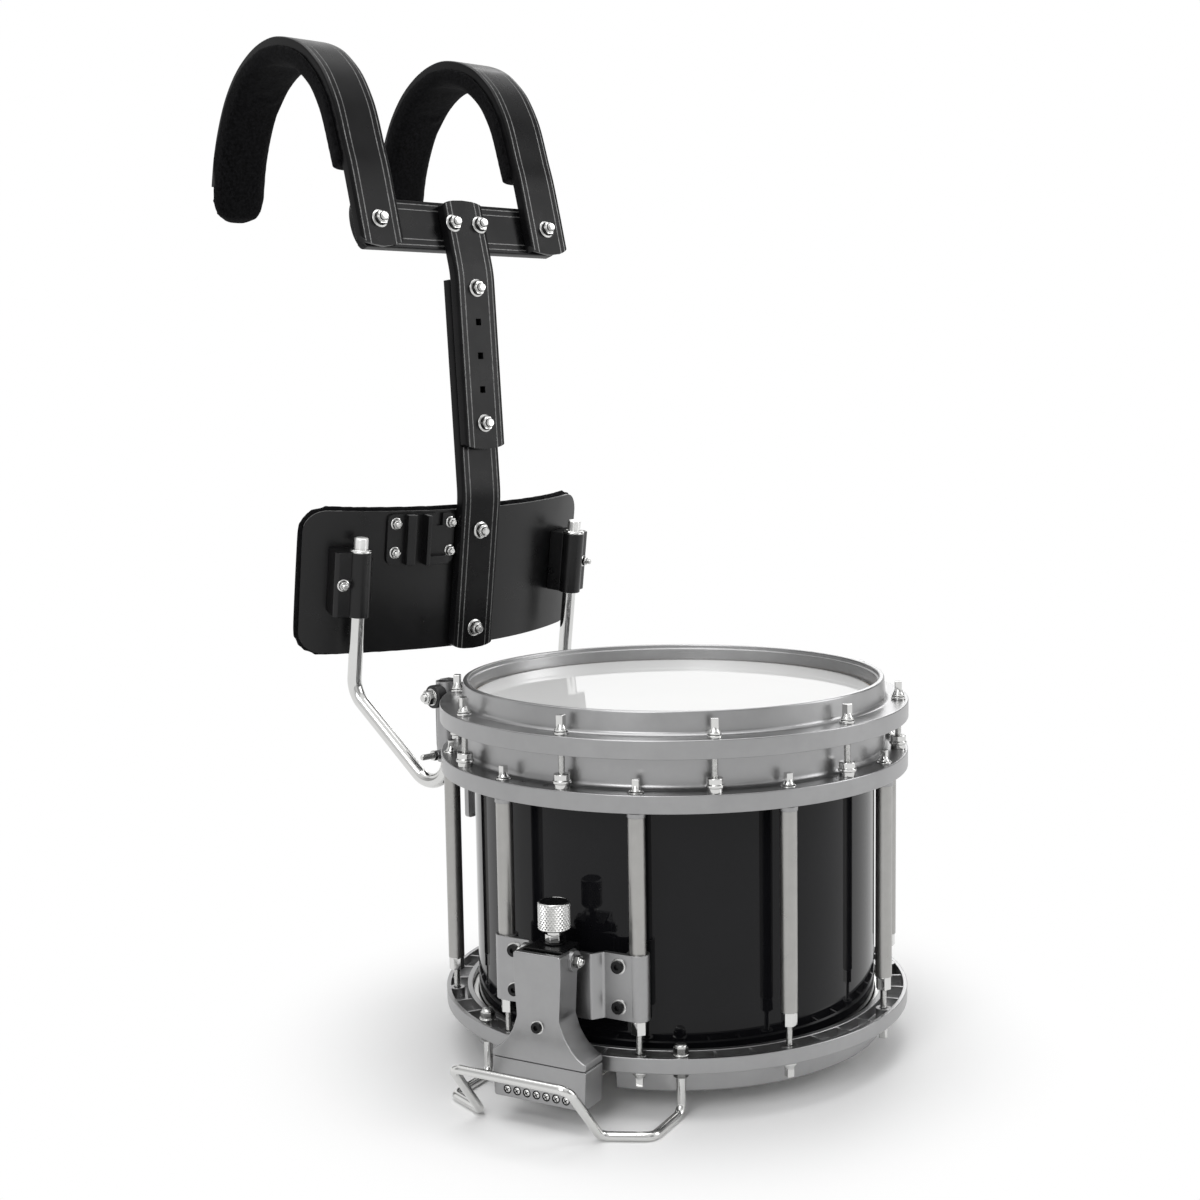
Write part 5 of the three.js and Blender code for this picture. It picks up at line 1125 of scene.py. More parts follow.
def bracket_casting(s, metal, low, high, reach):
    """Web and eye that take a rod's tip, the arm behind the hoop, and the clamp on a lug tube."""
    tube = polar(s.tube_circle, math.pi / 2 - STEP / 2)
    foot, clamp_top, web_left, web_right = 124, 164, 92.5, 100.5
    keep_out = cylinder(0, 204.3, 100, 300, metal, around=192)
    root = tube[1] - 6.9
    outline = [(root, low), (reach - 8, low), (reach, low + 8), (reach, high - 8), (reach - 8, high),
               (root, high)]
    web = prism(softened(outline, 4, 4), web_left, web_right, metal, "X", bevel=0)
    eye = at(cylinder(0, 9.5, low, high, metal, around=56), shift(*ROD_TIP, 0))
    bore = at(cylinder(0, 7.2, 170, 270, metal, around=40), shift(*ROD_TIP, 0))
    body = carved(carved(web, eye, operation="UNION"), keep_out, bore)
    outer = tube[0] + 9.2
    outline = [(tube[0], foot - 3), (outer, foot - 3), (outer, clamp_top - 3), (web_right, low),
               (web_right, high - 8), (tube[0] + 8, high - 8), (tube[0], high - 16)]
    arm = prism(softened(outline, 3, 4), reach - 6, reach, metal, "Y", bevel=0)
    boss = cylinder(6.95, 9.2, foot, clamp_top, metal, soft=0.8, around=48)
    lug = block((tube[0] - 4.6, tube[0] + 4.6), (tube[1] + 6.95, 206), (foot, clamp_top), metal, bevel=0.8)
    return [chamfered(body, 0.9, angle=50, steps=3), chamfered(carved(arm, keep_out), 0.7, angle=50),
            at(boss, shift(*tube, 0)), lug]


def drum_brackets():
    """Two bored brackets behind the drum with their rubber discs, nuts and studs."""
    s = drum_sizes()
    metal, bright = cast_satin(), zinc()
    low, high, reach, side = 184.4, 258.4, 209, 116
    disc = cylinder(0, 10.6, -2.6, 7.2, rubber(), soft=1.2, around=56)
    washer = cylinder(0, 7.8, 7.0, 8.2, bright, soft=0.3, around=44)
    nut = hex_nut(7.0, 8.1, 13.8, 0.6)
    crown = turned([(0, 13.6), (5.6, 13.6), (5.2, 14.9), (3.6, 15.3), (3.4, 17.9), (0, 18.1)], bright,
                   soft=0.4, around=40)
    collar = cylinder(0, 4.4, -3, 7.5, metal, soft=0.5, around=32)
    bolt = thread(2.6, -3, 23, 0.9, zinc_for_threads_and_shade(), around=20)
    ring = hex_nut(4.9, 7.5, 11.5, 0.4)
    tip_end = turned([(0, 22.6), (2.6, 22.6), (2.1, 23.8), (0, 23.8)], bright, around=20)
    out = aimed((side, ROD_TIP[1], high - 13), (1, 0, 0))
    stud = aimed((side, ROD_TIP[1] - 4, low + 8), (1, 0, 0))
    meshes = [*bracket_casting(s, metal, low, high, reach),
              *(at(mesh, out) for mesh in (disc, washer, nut, crown)),
              *(at(mesh, stud) for mesh in (collar, bolt, ring, tip_end))]
    pair("receiver", meshes, CARRIER, "drum", "drum_bracket")


# The carrier. Heights are in millimetres over the lower hoop's face: the spine's ends and its bend, the lower
# strip's foot, knee and top, the crossbar, the bolts in the straps and the spine, the straps' feet, the
# highest square hole and the middle of the belly plate.

SPINE_FOOT, SPINE_TOP, BEND = 464.5, 702.0, 632.5
LOWER_FOOT, KNEE, LOWER_TOP = 268, 418, 626
CROSSBAR, HEAD_BOLTS, STRAP_FOOT = 677, 679, 654
HIGHEST_HOLE, HOLE_PITCH = 618, 32.2
PLATE_MIDDLE = 335

# Slopes are millimetres back for each one up; the stack is the distance from one strip's face to the next.

SETBACK, LEAN, HEAD_LEAN = 248.5, 0.0616, 0.262
BELLY_LEAN = math.radians(7.9)
STACK = 10.3
HALF_STRIP = 24.0


def spine_front(z):
    return SETBACK + LEAN * (z - SPINE_FOOT)


def head_front(z):
    return spine_front(BEND) + HEAD_LEAN * (z - BEND)


def lower_front(z):
    """The lower strip's front face: behind the upper strip, and sloping forwards under its knee."""
    if z < KNEE:
        return lower_front(KNEE) + math.tan(BELLY_LEAN) * (KNEE - z)
    return spine_front(z) + STACK * math.hypot(1, LEAN)


# Side lines run through [y, z] points on a strip's front face.

class Line:
    """A side line that gives its point and the direction behind it at any distance."""

    def __init__(self, points):
        self.points = [Vector(point) for point in points]
        self.marks = [0.0]
        for before, after in zip(self.points, self.points[1:]):
            self.marks.append(self.marks[-1] + (after - before).length)
        self.length = self.marks[-1]
        ways = [(after - before).normalized() for before, after in zip(self.points, self.points[1:])]
        corners = [(a + b).normalized() for a, b in zip([ways[0], *ways], [*ways, ways[-1]])]
        self.behind = [Vector((way.y, -way.x)) for way in corners]

    def at(self, distance):
        distance = min(max(distance, 0.0), self.length)
        i = next((k for k in range(len(self.marks) - 2, 0, -1) if self.marks[k] <= distance), 0)
        share = (distance - self.marks[i]) / (self.marks[i + 1] - self.marks[i])
        point = self.points[i].lerp(self.points[i + 1], share)
        return point, self.behind[i].lerp(self.behind[i + 1], share).normalized()


def spline(points, parts=6):
    """A smooth line through all the points."""
    ends = [points[0], *points, points[-1]]
    out = []
    for a, b, c, d in zip(ends, ends[1:], ends[2:], ends[3:]):
        a, b, c, d = (Vector(p) for p in (a, b, c, d))
        for k in range(parts):
            t = k / parts
            out.append(0.5 * (2 * b + (c - a) * t + (2 * a - 5 * b + 4 * c - d) * t * t
                              + (3 * b - a - 3 * c + d) * t ** 3))
    return [tuple(point) for point in out] + [tuple(points[-1])]


def strip_section(c):
    """Closed section of a strip as [across, depth, is it a groove]: face, shoulders and channel. Groove faces
    take a painted highlight.
    """
    half, depth, face, cut = c.strip_width / 2, c.strip_depth, c.strip_face, c.groove_depth
    side = [(0, 0, 0), (11, 0, 0), (13.9, 0, 1), (14.2, cut, 1), (14.7, cut, 1), (15.0, 0, 0),
            (17.2, 0, 0), (19.4, 0, 1), (19.7, cut, 1), (20.2, cut, 1), (20.5, 0, 0),
            (22.4, 0.15, 0), (23.4, 0.7, 0),
            (half, 1.9, 0), (half, depth - 1.0, 0), (half - 0.5, depth - 0.25, 0), (half - 1.2, depth, 0),
            (half - 3.6, depth, 0), (half - 4.3, depth - 0.4, 0), (half - 4.5, depth - 1.2, 0),
            (half - 4.5, face + 1.2, 0), (half - 5.7, face, 0), (0, face, 0)]
    return side + [(-side[i][0], side[i][1], side[i - 1][2]) for i in range(len(side) - 2, 0, -1)]


def strip_mesh(line, low_trim, high_trim, c, steps, place=None):
    """A strip swept along a line; each trim says how far the end is cut back at a place across."""
    section = strip_section(c)
    put = place or (lambda across, point: (across, point.x, point.y))
    verts = []
    for i in range(steps + 1):
        for across, deep, _ in section:
            low, high = low_trim(across), high_trim(across)
            point, behind = line.at(low + (line.length - low - high) * i / steps)
            verts.append(put(across, point + behind * deep))
    mesh = bpy.data.meshes.new("strip")
    mesh.from_pydata(verts, [], skin(steps + 1, len(section)))
    # The grooves' faces are painted in the pale painted highlight, and the rest is the carrier's black.
    grooves = [groove for _, _, groove in section] * steps + [0, 0]
    mesh.materials.append(strip_black())
    mesh.materials.append(painted_highlight_line())
    for face, groove in zip(mesh.polygons, grooves):
        face.material_index = groove
    work = bmesh.new()
    work.from_mesh(mesh)
    bmesh.ops.triangulate(work, faces=[face for face in work.faces if len(face.verts) > 4])
    bmesh.ops.recalc_face_normals(work, faces=work.faces)
    work.to_mesh(mesh)
    work.free()
    return mesh


def rounded_end(depth):
    """A trim shaped as an arc: nothing in the middle, and nearly the whole depth at the edges."""
    return lambda across: depth * (1 - math.sqrt(max(0.0, 1 - 0.98 * min(1, abs(across) / HALF_STRIP) ** 2)))


def square_end(across):
    """A trim that cuts nothing back."""
    return 0


def bolt_end(scale=1.0, tip=3.2):
    """Bolt end on Z: flange washer, hexagon nut with its domed lock ring, and the bolt's tip."""
    bright = zinc()
    flange = turned([(0, -0.4), (8.6, -0.4), (8.6, 0.9), (6.4, 1.9), (0, 1.9)], bright, soft=0.5, around=44)
    # A black oxide ring between washer and nut: painted shadow in the gap.
    gap = cylinder(0, 6.9, 1.5, 2.3, oxide(), around=36)
    nut = hex_nut(6.9, 2.2, 5.4, 0.6)
    dome = turned([(0, 5.0), (5.5, 5.0), (5.2, 6.2), (4.6, 6.6), (0, 6.6)], bright, soft=0.3, around=36)
    # A black oxide ring round the bolt's foot: painted shade.
    ring = cylinder(0, 4.3, 6.5, 6.9, oxide(), around=32)
    bolt = thread(3.6, 6.2, 6.6 + tip, 0.9, bright, around=24)
    end = turned([(0, 6.4 + tip), (3.2, 6.4 + tip), (2.7, 6.9 + tip), (0, 6.9 + tip)], bright, around=24)
    return at(joined([flange, gap, nut, dome, ring, bolt, end]), Matrix.Scale(scale, 4))


def strip_bolt(x, front, z, lean):
    """A bolt end on a strip's front face, square to its slope."""
    return at(bolt_end(), aimed((x, front, z), (0, -1, lean)))


def upper_strip(c, black):
    """Upper spine strip, bent back at its head, with three square holes free and four bolts."""
    side = [(SETBACK, SPINE_FOOT), (spine_front(BEND), BEND), (head_front(SPINE_TOP), SPINE_TOP)]
    line = Line(softened(side, 9, 10, closed=False))
    strip = strip_mesh(line, rounded_end(6), rounded_end(6), c, 48)
    places = [HIGHEST_HOLE - i * HOLE_PITCH for i in range(5)]
    half = 3.2
    holes = [block((-half, half), (spine_front(z) - 10, spine_front(z) + 14), (z - half, z + half), black,
                   bevel=0) for z in places[1:4]]
    bolts = [strip_bolt(0, spine_front(z), z, LEAN) for z in (places[0], places[4])]
    bolts += [strip_bolt(x, head_front(HEAD_BOLTS), HEAD_BOLTS, HEAD_LEAN) for x in (-16, 16)]
    return [carved(strip, *holes), *bolts]


def lower_strip(c):
    """Lower spine strip, from behind the upper one down to the belly plate, with its two bolts."""
    line = Line(softened([(lower_front(z), z) for z in (LOWER_FOOT, KNEE, LOWER_TOP)], 10, 10, closed=False))
    strip = strip_mesh(line, rounded_end(6), square_end, c, 56)
    places = [PLATE_MIDDLE + rise for rise in (50.6, -46.2)]
    return [strip, *(strip_bolt(0, lower_front(z), z, -math.tan(BELLY_LEAN)) for z in places)]


def crossbar(c, black):
    """Bar behind the spine's head, its channel closed at both rounded ends."""
    lean = math.atan(HEAD_LEAN)
    up, behind = Vector((0, math.sin(lean), math.cos(lean))), Vector((0, math.cos(lean), -math.sin(lean)))
    base = Vector((0, head_front(CROSSBAR) + STACK / math.cos(lean), CROSSBAR))
    half, arc, reach = 122.0, rounded_end(11), 23.4

    def place(across, point):
        return tuple(base + up * across + behind * point.x + Vector((point.y, 0, 0)))

    strip = strip_mesh(Line([(0, -half), (0, half)]), arc, arc, c, 12, place=place)
    rim = [(half - arc(a) - 0.2, a) for a in (reach * (k / 12 - 1) for k in range(25))]
    cheek = prism(rim + [(x - 5, a * 0.8) for x, a in reversed(rim)], 3.9, 9.8, black, bevel=0.5)
    turn = Matrix.Translation(base) @ Matrix((Vector((1, 0, 0)), up, behind)).transposed().to_4x4()
    return [strip, *(at(mesh, turn) for mesh in (cheek, mirrored(cheek)))]


def carrier_spine():
    """Upper strip with its square holes and bolts, lower strip and crossbar."""
    c = carrier_sizes()
    black = strip_black()
    piece("upper_strip", upper_strip(c, black), CARRIER, "upper_frame", ["spine_upper"])
    piece("lower_strip", lower_strip(c), CARRIER, "harness", ["spine_lower"])
    piece("cross_strip", crossbar(c, black), CARRIER, "upper_frame", ["crossbar"])


# A strap's side line over the shoulder, as shares of its reach and of its rise.
STRAP_SHARES = [
    (0.0000, 0.000), (0.0469, 0.234), (0.0760, 0.370), (0.1000, 0.460), (0.1380, 0.610), (0.1700, 0.700),
    (0.2200, 0.800), (0.2800, 0.876), (0.3450, 0.935), (0.4350, 0.980), (0.5310, 1.000), (0.6250, 0.985),
    (0.7150, 0.940), (0.7980, 0.868), (0.8700, 0.765), (0.9250, 0.640), (0.9660, 0.505), (0.9900, 0.370),
]


def strap_line(c):
    start = head_front(STRAP_FOOT)
    return Line(spline([(start + c.strap_reach * y, STRAP_FOOT + c.strap_rise * z) for y, z in STRAP_SHARES]))


def shoulder_place(side, c):
    return CARRIER @ shift(side * c.strap_spread, 0, 0)


def straps():
    """Shoulder straps, curved over the shoulder from the crossbar, each with its bolt."""
    c = carrier_sizes()
    line = strap_line(c)
    for side, word in SIDES:
        strip = strip_mesh(line, rounded_end(10), square_end, c, 130)
        bolt = strip_bolt(0, head_front(HEAD_BOLTS), HEAD_BOLTS, HEAD_LEAN)
        piece(f"{word}_strap", [strip, bolt], shoulder_place(side, c), f"shoulder_{word}",
              [f"shoulder_strap_{word}"])


# How the pads' cloth behaves while it is blown up from inside, and for how many frames.
CLOTH_FRAMES = 20
CLOTH = {
    "quality": 6, "mass": 0.25, "tension_stiffness": 20, "compression_stiffness": 20,
    "bending_stiffness": 2.0, "use_pressure": True, "uniform_pressure_force": 4,
}


def blown_up(thing, cap):
    """Swell an object's mesh as cloth under even pressure, each point by no more than the cap."""
    rest = [vertex.co.copy() for vertex in thing.data.vertices]
    cloth = thing.modifiers.new("cloth", "CLOTH")
    for key, value in CLOTH.items():
        setattr(cloth.settings, key, value)
    cloth.settings.effector_weights.gravity = 0
    cloth.point_cache.frame_start, cloth.point_cache.frame_end = 1, CLOTH_FRAMES
    for number in range(1, CLOTH_FRAMES + 1):
        bpy.context.scene.frame_set(number)
    swollen = evaluated(thing)
    for vertex, start in zip(swollen.vertices, rest):
        move = vertex.co - start
        if move.length > cap / PER_METRE:
            vertex.co = start + move.normalized() * cap / PER_METRE
    thing.modifiers.remove(cloth)
    thing.data = swollen
    bpy.context.scene.frame_set(1)


def stuffed(mesh, voxel, cap):
    """Foam under cloth: remeshed, blown up and smoothed."""
    thing = held(mesh, "stuffing")
    remesh = thing.modifiers.new("remesh", "REMESH")
    remesh.mode = "VOXEL"
    remesh.voxel_size = voxel
    body = evaluated(thing)
    bpy.data.objects.remove(thing)
    body.transform(Matrix.Scale(1 / PER_METRE, 4))
    thing = held(body, "stuffing")
    blown_up(thing, cap)
    finer = thing.modifiers.new("finer", "SUBSURF")
    finer.levels = finer.render_levels = 1
    result = evaluated(thing)
    bpy.data.objects.remove(thing)
    result.transform(Matrix.Scale(PER_METRE, 4))
    return result


# Sections of the pads as shares of their width and thickness. The face that lies against the plate or the
# strap is flat, and a shoulder pad's cloth is drawn up over the strap's flanks.
PAD_SIDE = [(0.49, 0.10), (0.47, -0.16), (0.40, -0.34), (0.25, -0.43)]
PAD_BELOW = [*PAD_SIDE, (0.0, -0.46), *((-w, t) for w, t in reversed(PAD_SIDE))]
PAD_SECTION = [(-0.40, 0.49), (0.40, 0.49), (0.485, 0.38), *PAD_BELOW, (-0.485, 0.38)]
LIP = [(0.430, 0.63), (0.460, 0.67), (0.490, 0.60)]
LIP_SECTION = [(-0.425, 0.49), (0.425, 0.49), *LIP, *PAD_BELOW, *((-w, t) for w, t in reversed(LIP))]


def eased(share):
    """A quarter circle's rise: zero at zero, one from one on, and steep at its start."""
    return math.sqrt(max(0.0, 1 - (1 - min(1.0, share)) ** 2))


def pad_rings(c):
    """Rings of a shoulder pad along its strap, past the strap's rear end and rounded off there."""
    thick, line = c.pad_thickness, strap_line(c)
    crossbar_top = CROSSBAR + 24 * math.cos(math.atan(HEAD_LEAN))
    start = next(s for s in range(400) if line.at(s)[0].y >= crossbar_top + 34) - 4
    end, past, count = line.length, 34.0, 64
    tail_point, tail_behind = line.at(end)
    run = Vector((-tail_behind.y, tail_behind.x))
    rings = []
    for i in range(count + 1):
        along = start + (end + past - start) * i / count
        point, behind = line.at(along)
        if along > end:
            point = tail_point + run * (along - end)
        middle = point + behind * (c.strip_depth + 0.3 + thick / 2)
        left = end + past - along
        wide = 0.30 + 0.70 * eased(left / 30)
        tall = 0.45 + 0.55 * eased(left / 12)
        lip = max(0.0, min(1.0, (end - 4 - along) / 14, (along - start) / 6))
        ring = []
        for w, t in softened(LIP_SECTION, 0.02, 2):
            t = 0.49 + (t - 0.49) * lip if t > 0.49 else t
            place = middle - behind * (t * thick * tall + (1 - tall) * thick / 2)
            ring.append((w * c.pad_width * wide, place.x, place.y))
        rings.append(ring)
    return rings


def shoulder_pads():
    """Cloth pads under the straps: squared at the front, rounded behind, drawn up at their sides."""
    c = carrier_sizes()
    for side, word in SIDES:
        soft = stuffed(loft(pad_rings(c), pad_cloth()), 3.0, 1.0)
        thing = piece(f"{word}_pad", [soft], shoulder_place(side, c), f"shoulder_{word}",
                      [f"shoulder_pad_{word}"], crease=180)


# The belly plate stands against the lower strip's back, and its outline is measured from its middle.
PLATE_SEAT = lower_front(PLATE_MIDDLE) + STACK / math.cos(BELLY_LEAN)
ON_PLATE = shift(0, PLATE_SEAT, PLATE_MIDDLE) @ Matrix.Rotation(BELLY_LEAN, 4, "X")
BELLY = CARRIER @ ON_PLATE
PLATE_HIGH, PLATE_LOW, PLATE_CORNER = 72.5, -64.5, 21.0


def belly_point(angle, depth, c):
    r = c.belly_radius - depth
    return r * math.sin(angle), c.belly_radius - r * math.cos(angle)


def belly_ends(x, half, corner, grow=0.0):
    """Lowest and highest point of the plate's rounded outline at a place across."""
    inside = max(0.0, abs(x) - (half - corner))
    back = corner - math.sqrt(max(0.0, corner ** 2 - min(inside, corner) ** 2))
    return PLATE_LOW - grow + back, PLATE_HIGH + grow - back


def belly_plate(c, sweep):
    """Curved plate with rounded corners, its narrow edge faces painted pale as a painted highlight."""
    count, wall = 120, 3.0
    verts, faces = [], []
    for i in range(count + 1):
        angle = sweep * math.sin(math.pi * (i / count - 0.5))
        low, high = belly_ends(c.belly_radius * math.sin(angle), c.belly_half, PLATE_CORNER)
        for depth in (0.0, wall):
            x, y = belly_point(angle, depth, c)
            verts += [(x, y, low), (x, y, high)]
    for i in range(count):
        a, b = 4 * i, 4 * (i + 1)
        faces += [(a, b, b + 1, a + 1), (a + 2, a + 3, b + 3, b + 2), (a, a + 2, b + 2, b),
                  (a + 1, b + 1, b + 3, a + 3)]
    faces += [(0, 1, 3, 2), (4 * count, 4 * count + 2, 4 * count + 3, 4 * count + 1)]
    plate = chamfered(made(verts, faces, plate_black()), 0.7, angle=60)
    # The small faces that face up or down along the edges, away from the ends, are painted pale: a painted
    # highlight.
    return painted(plate, painted_highlight_line(),
                   lambda face: abs(face.normal.z) > 0.35 and face.area < 8 and face.center.y < 60)


def belly_pad_rings(c, sweep):
    """Rings of the belly pad from side to side, a little larger than the plate all round."""
    over, thick, count = 5.0, c.belly_pad + 1, 72
    wide = sweep + over / c.belly_radius
    rings = []
    for i in range(count + 1):
        angle = wide * math.sin(math.pi * (i / count - 0.5))
        x = (c.belly_radius + 2) * math.sin(angle)
        low, high = belly_ends(x, c.belly_half + over + 1, PLATE_CORNER + over, over)
        tall = 0.55 + 0.45 * eased((wide - abs(angle)) * c.belly_radius / 7)
        ring = []
        for w, t in softened(PAD_SECTION, 0.10, 2):
            depth = 3.3 + thick / 2 - (t * thick * tall + (1 - tall) * thick / 2)
            px, py = belly_point(angle, depth, c)
            ring.append((px, py, (low + high) / 2 - w / 0.49 * (high - low) / 2))
        rings.append(ring)
    return rings


def belly():
    """Curved belly plate with its foam pad behind it."""
    c = carrier_sizes()
    sweep = math.asin(c.belly_half / c.belly_radius)
    piece("belly_casting", [belly_plate(c, sweep)], BELLY, "harness", ["belly_plate"])
    soft = stuffed(loft(belly_pad_rings(c, sweep), pad_cloth()), 4.5, 1.4)
    thing = piece("belly_cushion", [soft], BELLY, "harness", ["belly_pad"], crease=180)


def rod_place(c):
    """Where a J-rod stands on the plate: across, depth and turn."""
    spread, standoff = 126.5, 23
    r = c.belly_radius + standoff
    turn = math.atan(spread / (c.belly_radius * math.cos(math.asin(spread / r))))
    return r * math.sin(turn), c.belly_radius - r * math.cos(turn), turn


def plate_fittings():
    """Rod blocks with their clamping ears and the accessory bracket, all on the belly plate."""
    c = carrier_sizes()
    black = plate_black()
    x, y, turn = rod_place(c)
    low, high, side, inner = -23.0, 38.5, 22.7, c.j_rod + 0.35
    barrel = cylinder(inner, 11, low, high, black, soft=0.8, around=56)
    collar = turned([(inner, high - 0.1), (10.6, high - 0.1), (10.9, high + 1.4), (9.4, high + 3),
                     (inner, high + 3)], chrome(), soft=0.4, around=48)
    neck = block((-8, 8), (7.5, side), (low + 0.2, high - 0.2), black, bevel=0.8)
    ear = prism([(0, -5), (21.5, -5), (24.5, -1.5), (24.5, side - 0.3), (0, side - 0.3)], low, high, black,
                bevel=0.9)
    bolt = at(bolt_end(0.68, tip=6.0), aimed((16.6, -5.0, (low + high) / 2), (0, -1, 0)))
    bore = cylinder(0, inner + 0.01, -40, 60, black, around=56)
    place = shift(x, y, 0) @ Matrix.Rotation(turn, 4, "Z")
    keep_out = plate_keep_out(c)
    clamp = [carved(at(carved(mesh, bore), place), keep_out) for mesh in (neck, ear)]
    meshes = [at(barrel, place), at(collar, place), *clamp, at(bolt, place)]
    pair("block", meshes, BELLY, "harness", "j_rod_block")
    piece("accessory_casting", accessory(c, black), BELLY, "harness", ["accessory_bracket"])


def plate_keep_out(c):
    """The room that the plate takes, with a little clearance in front of it."""
    sweep = math.asin(c.belly_half / c.belly_radius) + 0.05
    angles = [-sweep + 2 * sweep * k / 60 for k in range(61)]
    outline = [belly_point(a, -0.3, c) for a in angles] + [belly_point(a, 30, c) for a in reversed(angles)]
    return prism(outline, -90, 100, strip_black(), bevel=0)


def accessory(c, black):
    """Curved base with two upright rails, a foot shelf and four small bolts."""
    def angle_at(x):
        return -math.asin(x / c.belly_radius)

    def band(outer, inner, depth, low, high, bevel=0.5, steps=4):
        """A bar on the plate's face between two places across it."""
        first, last = angle_at(outer), angle_at(inner)
        angles = [first + (last - first) * k / steps for k in range(steps + 1)]
        outline = [belly_point(t, -0.3 - depth, c) for t in angles]
        outline += [belly_point(t, -0.3, c) for t in reversed(angles)]
        return prism(outline, low, high, black, bevel=bevel)

    left, right, low, high = -97, -26, 21.5, 70
    window = softened([(left, low), (right, low), (right, high), (left, high)], 7, 5)
    base = band(-left, -right, 3, low, high, 0, 16)
    base = carved(base, prism(window, -20, 30, black, "Y", bevel=0), operation="INTERSECT")
    base = chamfered(base, 0.8, angle=60)
    notch = block((-47, -40), (-20, 20), (high - 12, high + 5), black, bevel=0)
    rail = band(79, 70, 10, low, high, 0.9)
    fin = band(61, 57, 14, low, high, 0.7)
    shelf = band(59, 35, 10, low, low + 8, 0.7)
    bolts = []
    for angle in (angle_at(88), angle_at(30.5)):
        way = (math.sin(angle), -math.cos(angle), 0)
        bolts += [at(bolt_end(0.68), aimed((*belly_point(angle, -3.3, c), z), way)) for z in (61, 33)]
    return [carved(base, notch), rail, fin, shelf, *bolts]


def j_rods():
    """Two chromed J-shaped rods, from the blocks down and up into the drum's brackets."""
    c = carrier_sizes()
    across, depth, _ = rod_place(c)

    def upright(height):
        """A point on the rod's upper leg, by its height over the plate's middle."""
        return ON_PLATE @ Vector((across, depth, height))

    top, low, knee_z, tip_z = upright(57), upright(-24), 239.4, 250.4
    knee = top.lerp(low, (top.z - knee_z) / (top.z - low.z))
    drop = 0.93 * math.hypot(ROD_TIP[0] - knee.x, ROD_TIP[1] - knee.y)
    path = bent([upright(42), knee, (*ROD_TIP, knee_z - drop), (*ROD_TIP, tip_z)], [28, 20.6], 16)
    way, seat = (top - low).normalized(), upright(38.7)
    cap = prism(softened(polygon(7.0, 8), 1.4, 3), -2, 13.4, knurled(), bevel=1.8, steps=4)
    for side, word in SIDES:
        wire = rod([(side * x, y, z) for x, y, z in path], c.j_rod, chrome(), 40, chamfer=0.9)
        place = aimed((side * seat.x, seat.y, seat.z), (side * way.x, way.y, way.z))
        piece(f"{word}_j", [wire, at(cap, place)], CARRIER, "j_rods", [f"j_rod_{word}"])


# Stage.

def either(node, first, second):
    """The larger of two values."""
    return node("ShaderNodeMath", [(0, first), (1, second)], operation="MAXIMUM").outputs[0]


def floor_paint():
    """Pale matt paint that turns into the white background away from the drum."""
    material = bpy.data.materials.new("floor_paint")
    tree, shader, node = wire_up(material)
    place = node("ShaderNodeTexCoord").outputs["Object"]
    cloud = node("ShaderNodeTexNoise", [("Vector", place)], Scale=1.5, Detail=3.0)
    ramp = node("ShaderNodeValToRGB", [("Fac", cloud.outputs["Fac"])])
    base = tint_of("floor")
    low, high = ramp.color_ramp.elements
    low.color, high.color = (*(0.99 * v for v in base), 1), (*base, 1)
    grain = node("ShaderNodeTexNoise", [("Vector", place)], Scale=90.0, Detail=4.0)
    relief = node("ShaderNodeBump", [("Height", grain.outputs["Fac"])], Strength=0.02, Distance=0.0003)
    rough = node("ShaderNodeMapRange", [("Value", cloud.outputs["Fac"])], To_Min=0.62, To_Max=0.7)
    tree.links.new(ramp.outputs[0], shader.inputs["Base Color"])
    tree.links.new(relief.outputs[0], shader.inputs["Normal"])
    tree.links.new(rough.outputs[0], shader.inputs["Roughness"])
    shader.inputs["Specular IOR Level"].default_value = 0.2
    away = node("ShaderNodeVectorMath", [(0, place)], operation="SUBTRACT")
    away.inputs[1].default_value = (DRUM.translation.x, DRUM.translation.y, 0)
    reach = node("ShaderNodeVectorMath", [(0, away.outputs[0])], operation="LENGTH")
    far = node("ShaderNodeMapRange", [("Value", reach.outputs["Value"])], interpolation_type="SMOOTHSTEP",
               From_Min=0.22, From_Max=0.40)
    path = node("ShaderNodeLightPath").outputs
    seen = either(node, path["Is Camera Ray"], path["Is Glossy Ray"])
    seen = either(node, seen, path["Is Transmission Ray"])
    share = node("ShaderNodeMath", [(0, far.outputs[0]), (1, seen)], operation="MULTIPLY")
    white = node("ShaderNodeEmission", Color=(1, 1, 1, 1), Strength=1.0)
    blend = node("ShaderNodeMixShader",
                 [(0, share.outputs[0]), (1, shader.outputs[0]), (2, white.outputs[0])])
    output = next(item for item in tree.nodes if item.type == "OUTPUT_MATERIAL")
    tree.links.new(blend.outputs[0], output.inputs["Surface"])
    return material


# How bright the room is round the horizon, as [compass direction in degrees, level]: white wall
# behind the drum, soft boxes beside the camera and darker room between them.
ROOM = [(-180, 0.80), (-160, 0.90), (-146, 0.55), (-112, 0.75), (-100, 0.40), (-84, 0.40), (-70, 0.95),
        (-38, 1.0), (-24, 0.30), (6, 0.22), (26, 1.0), (74, 1.0), (86, 0.22), (98, 0.25), (108, 1.0),
        (128, 1.0), (140, 0.35), (156, 0.45), (170, 0.80)]


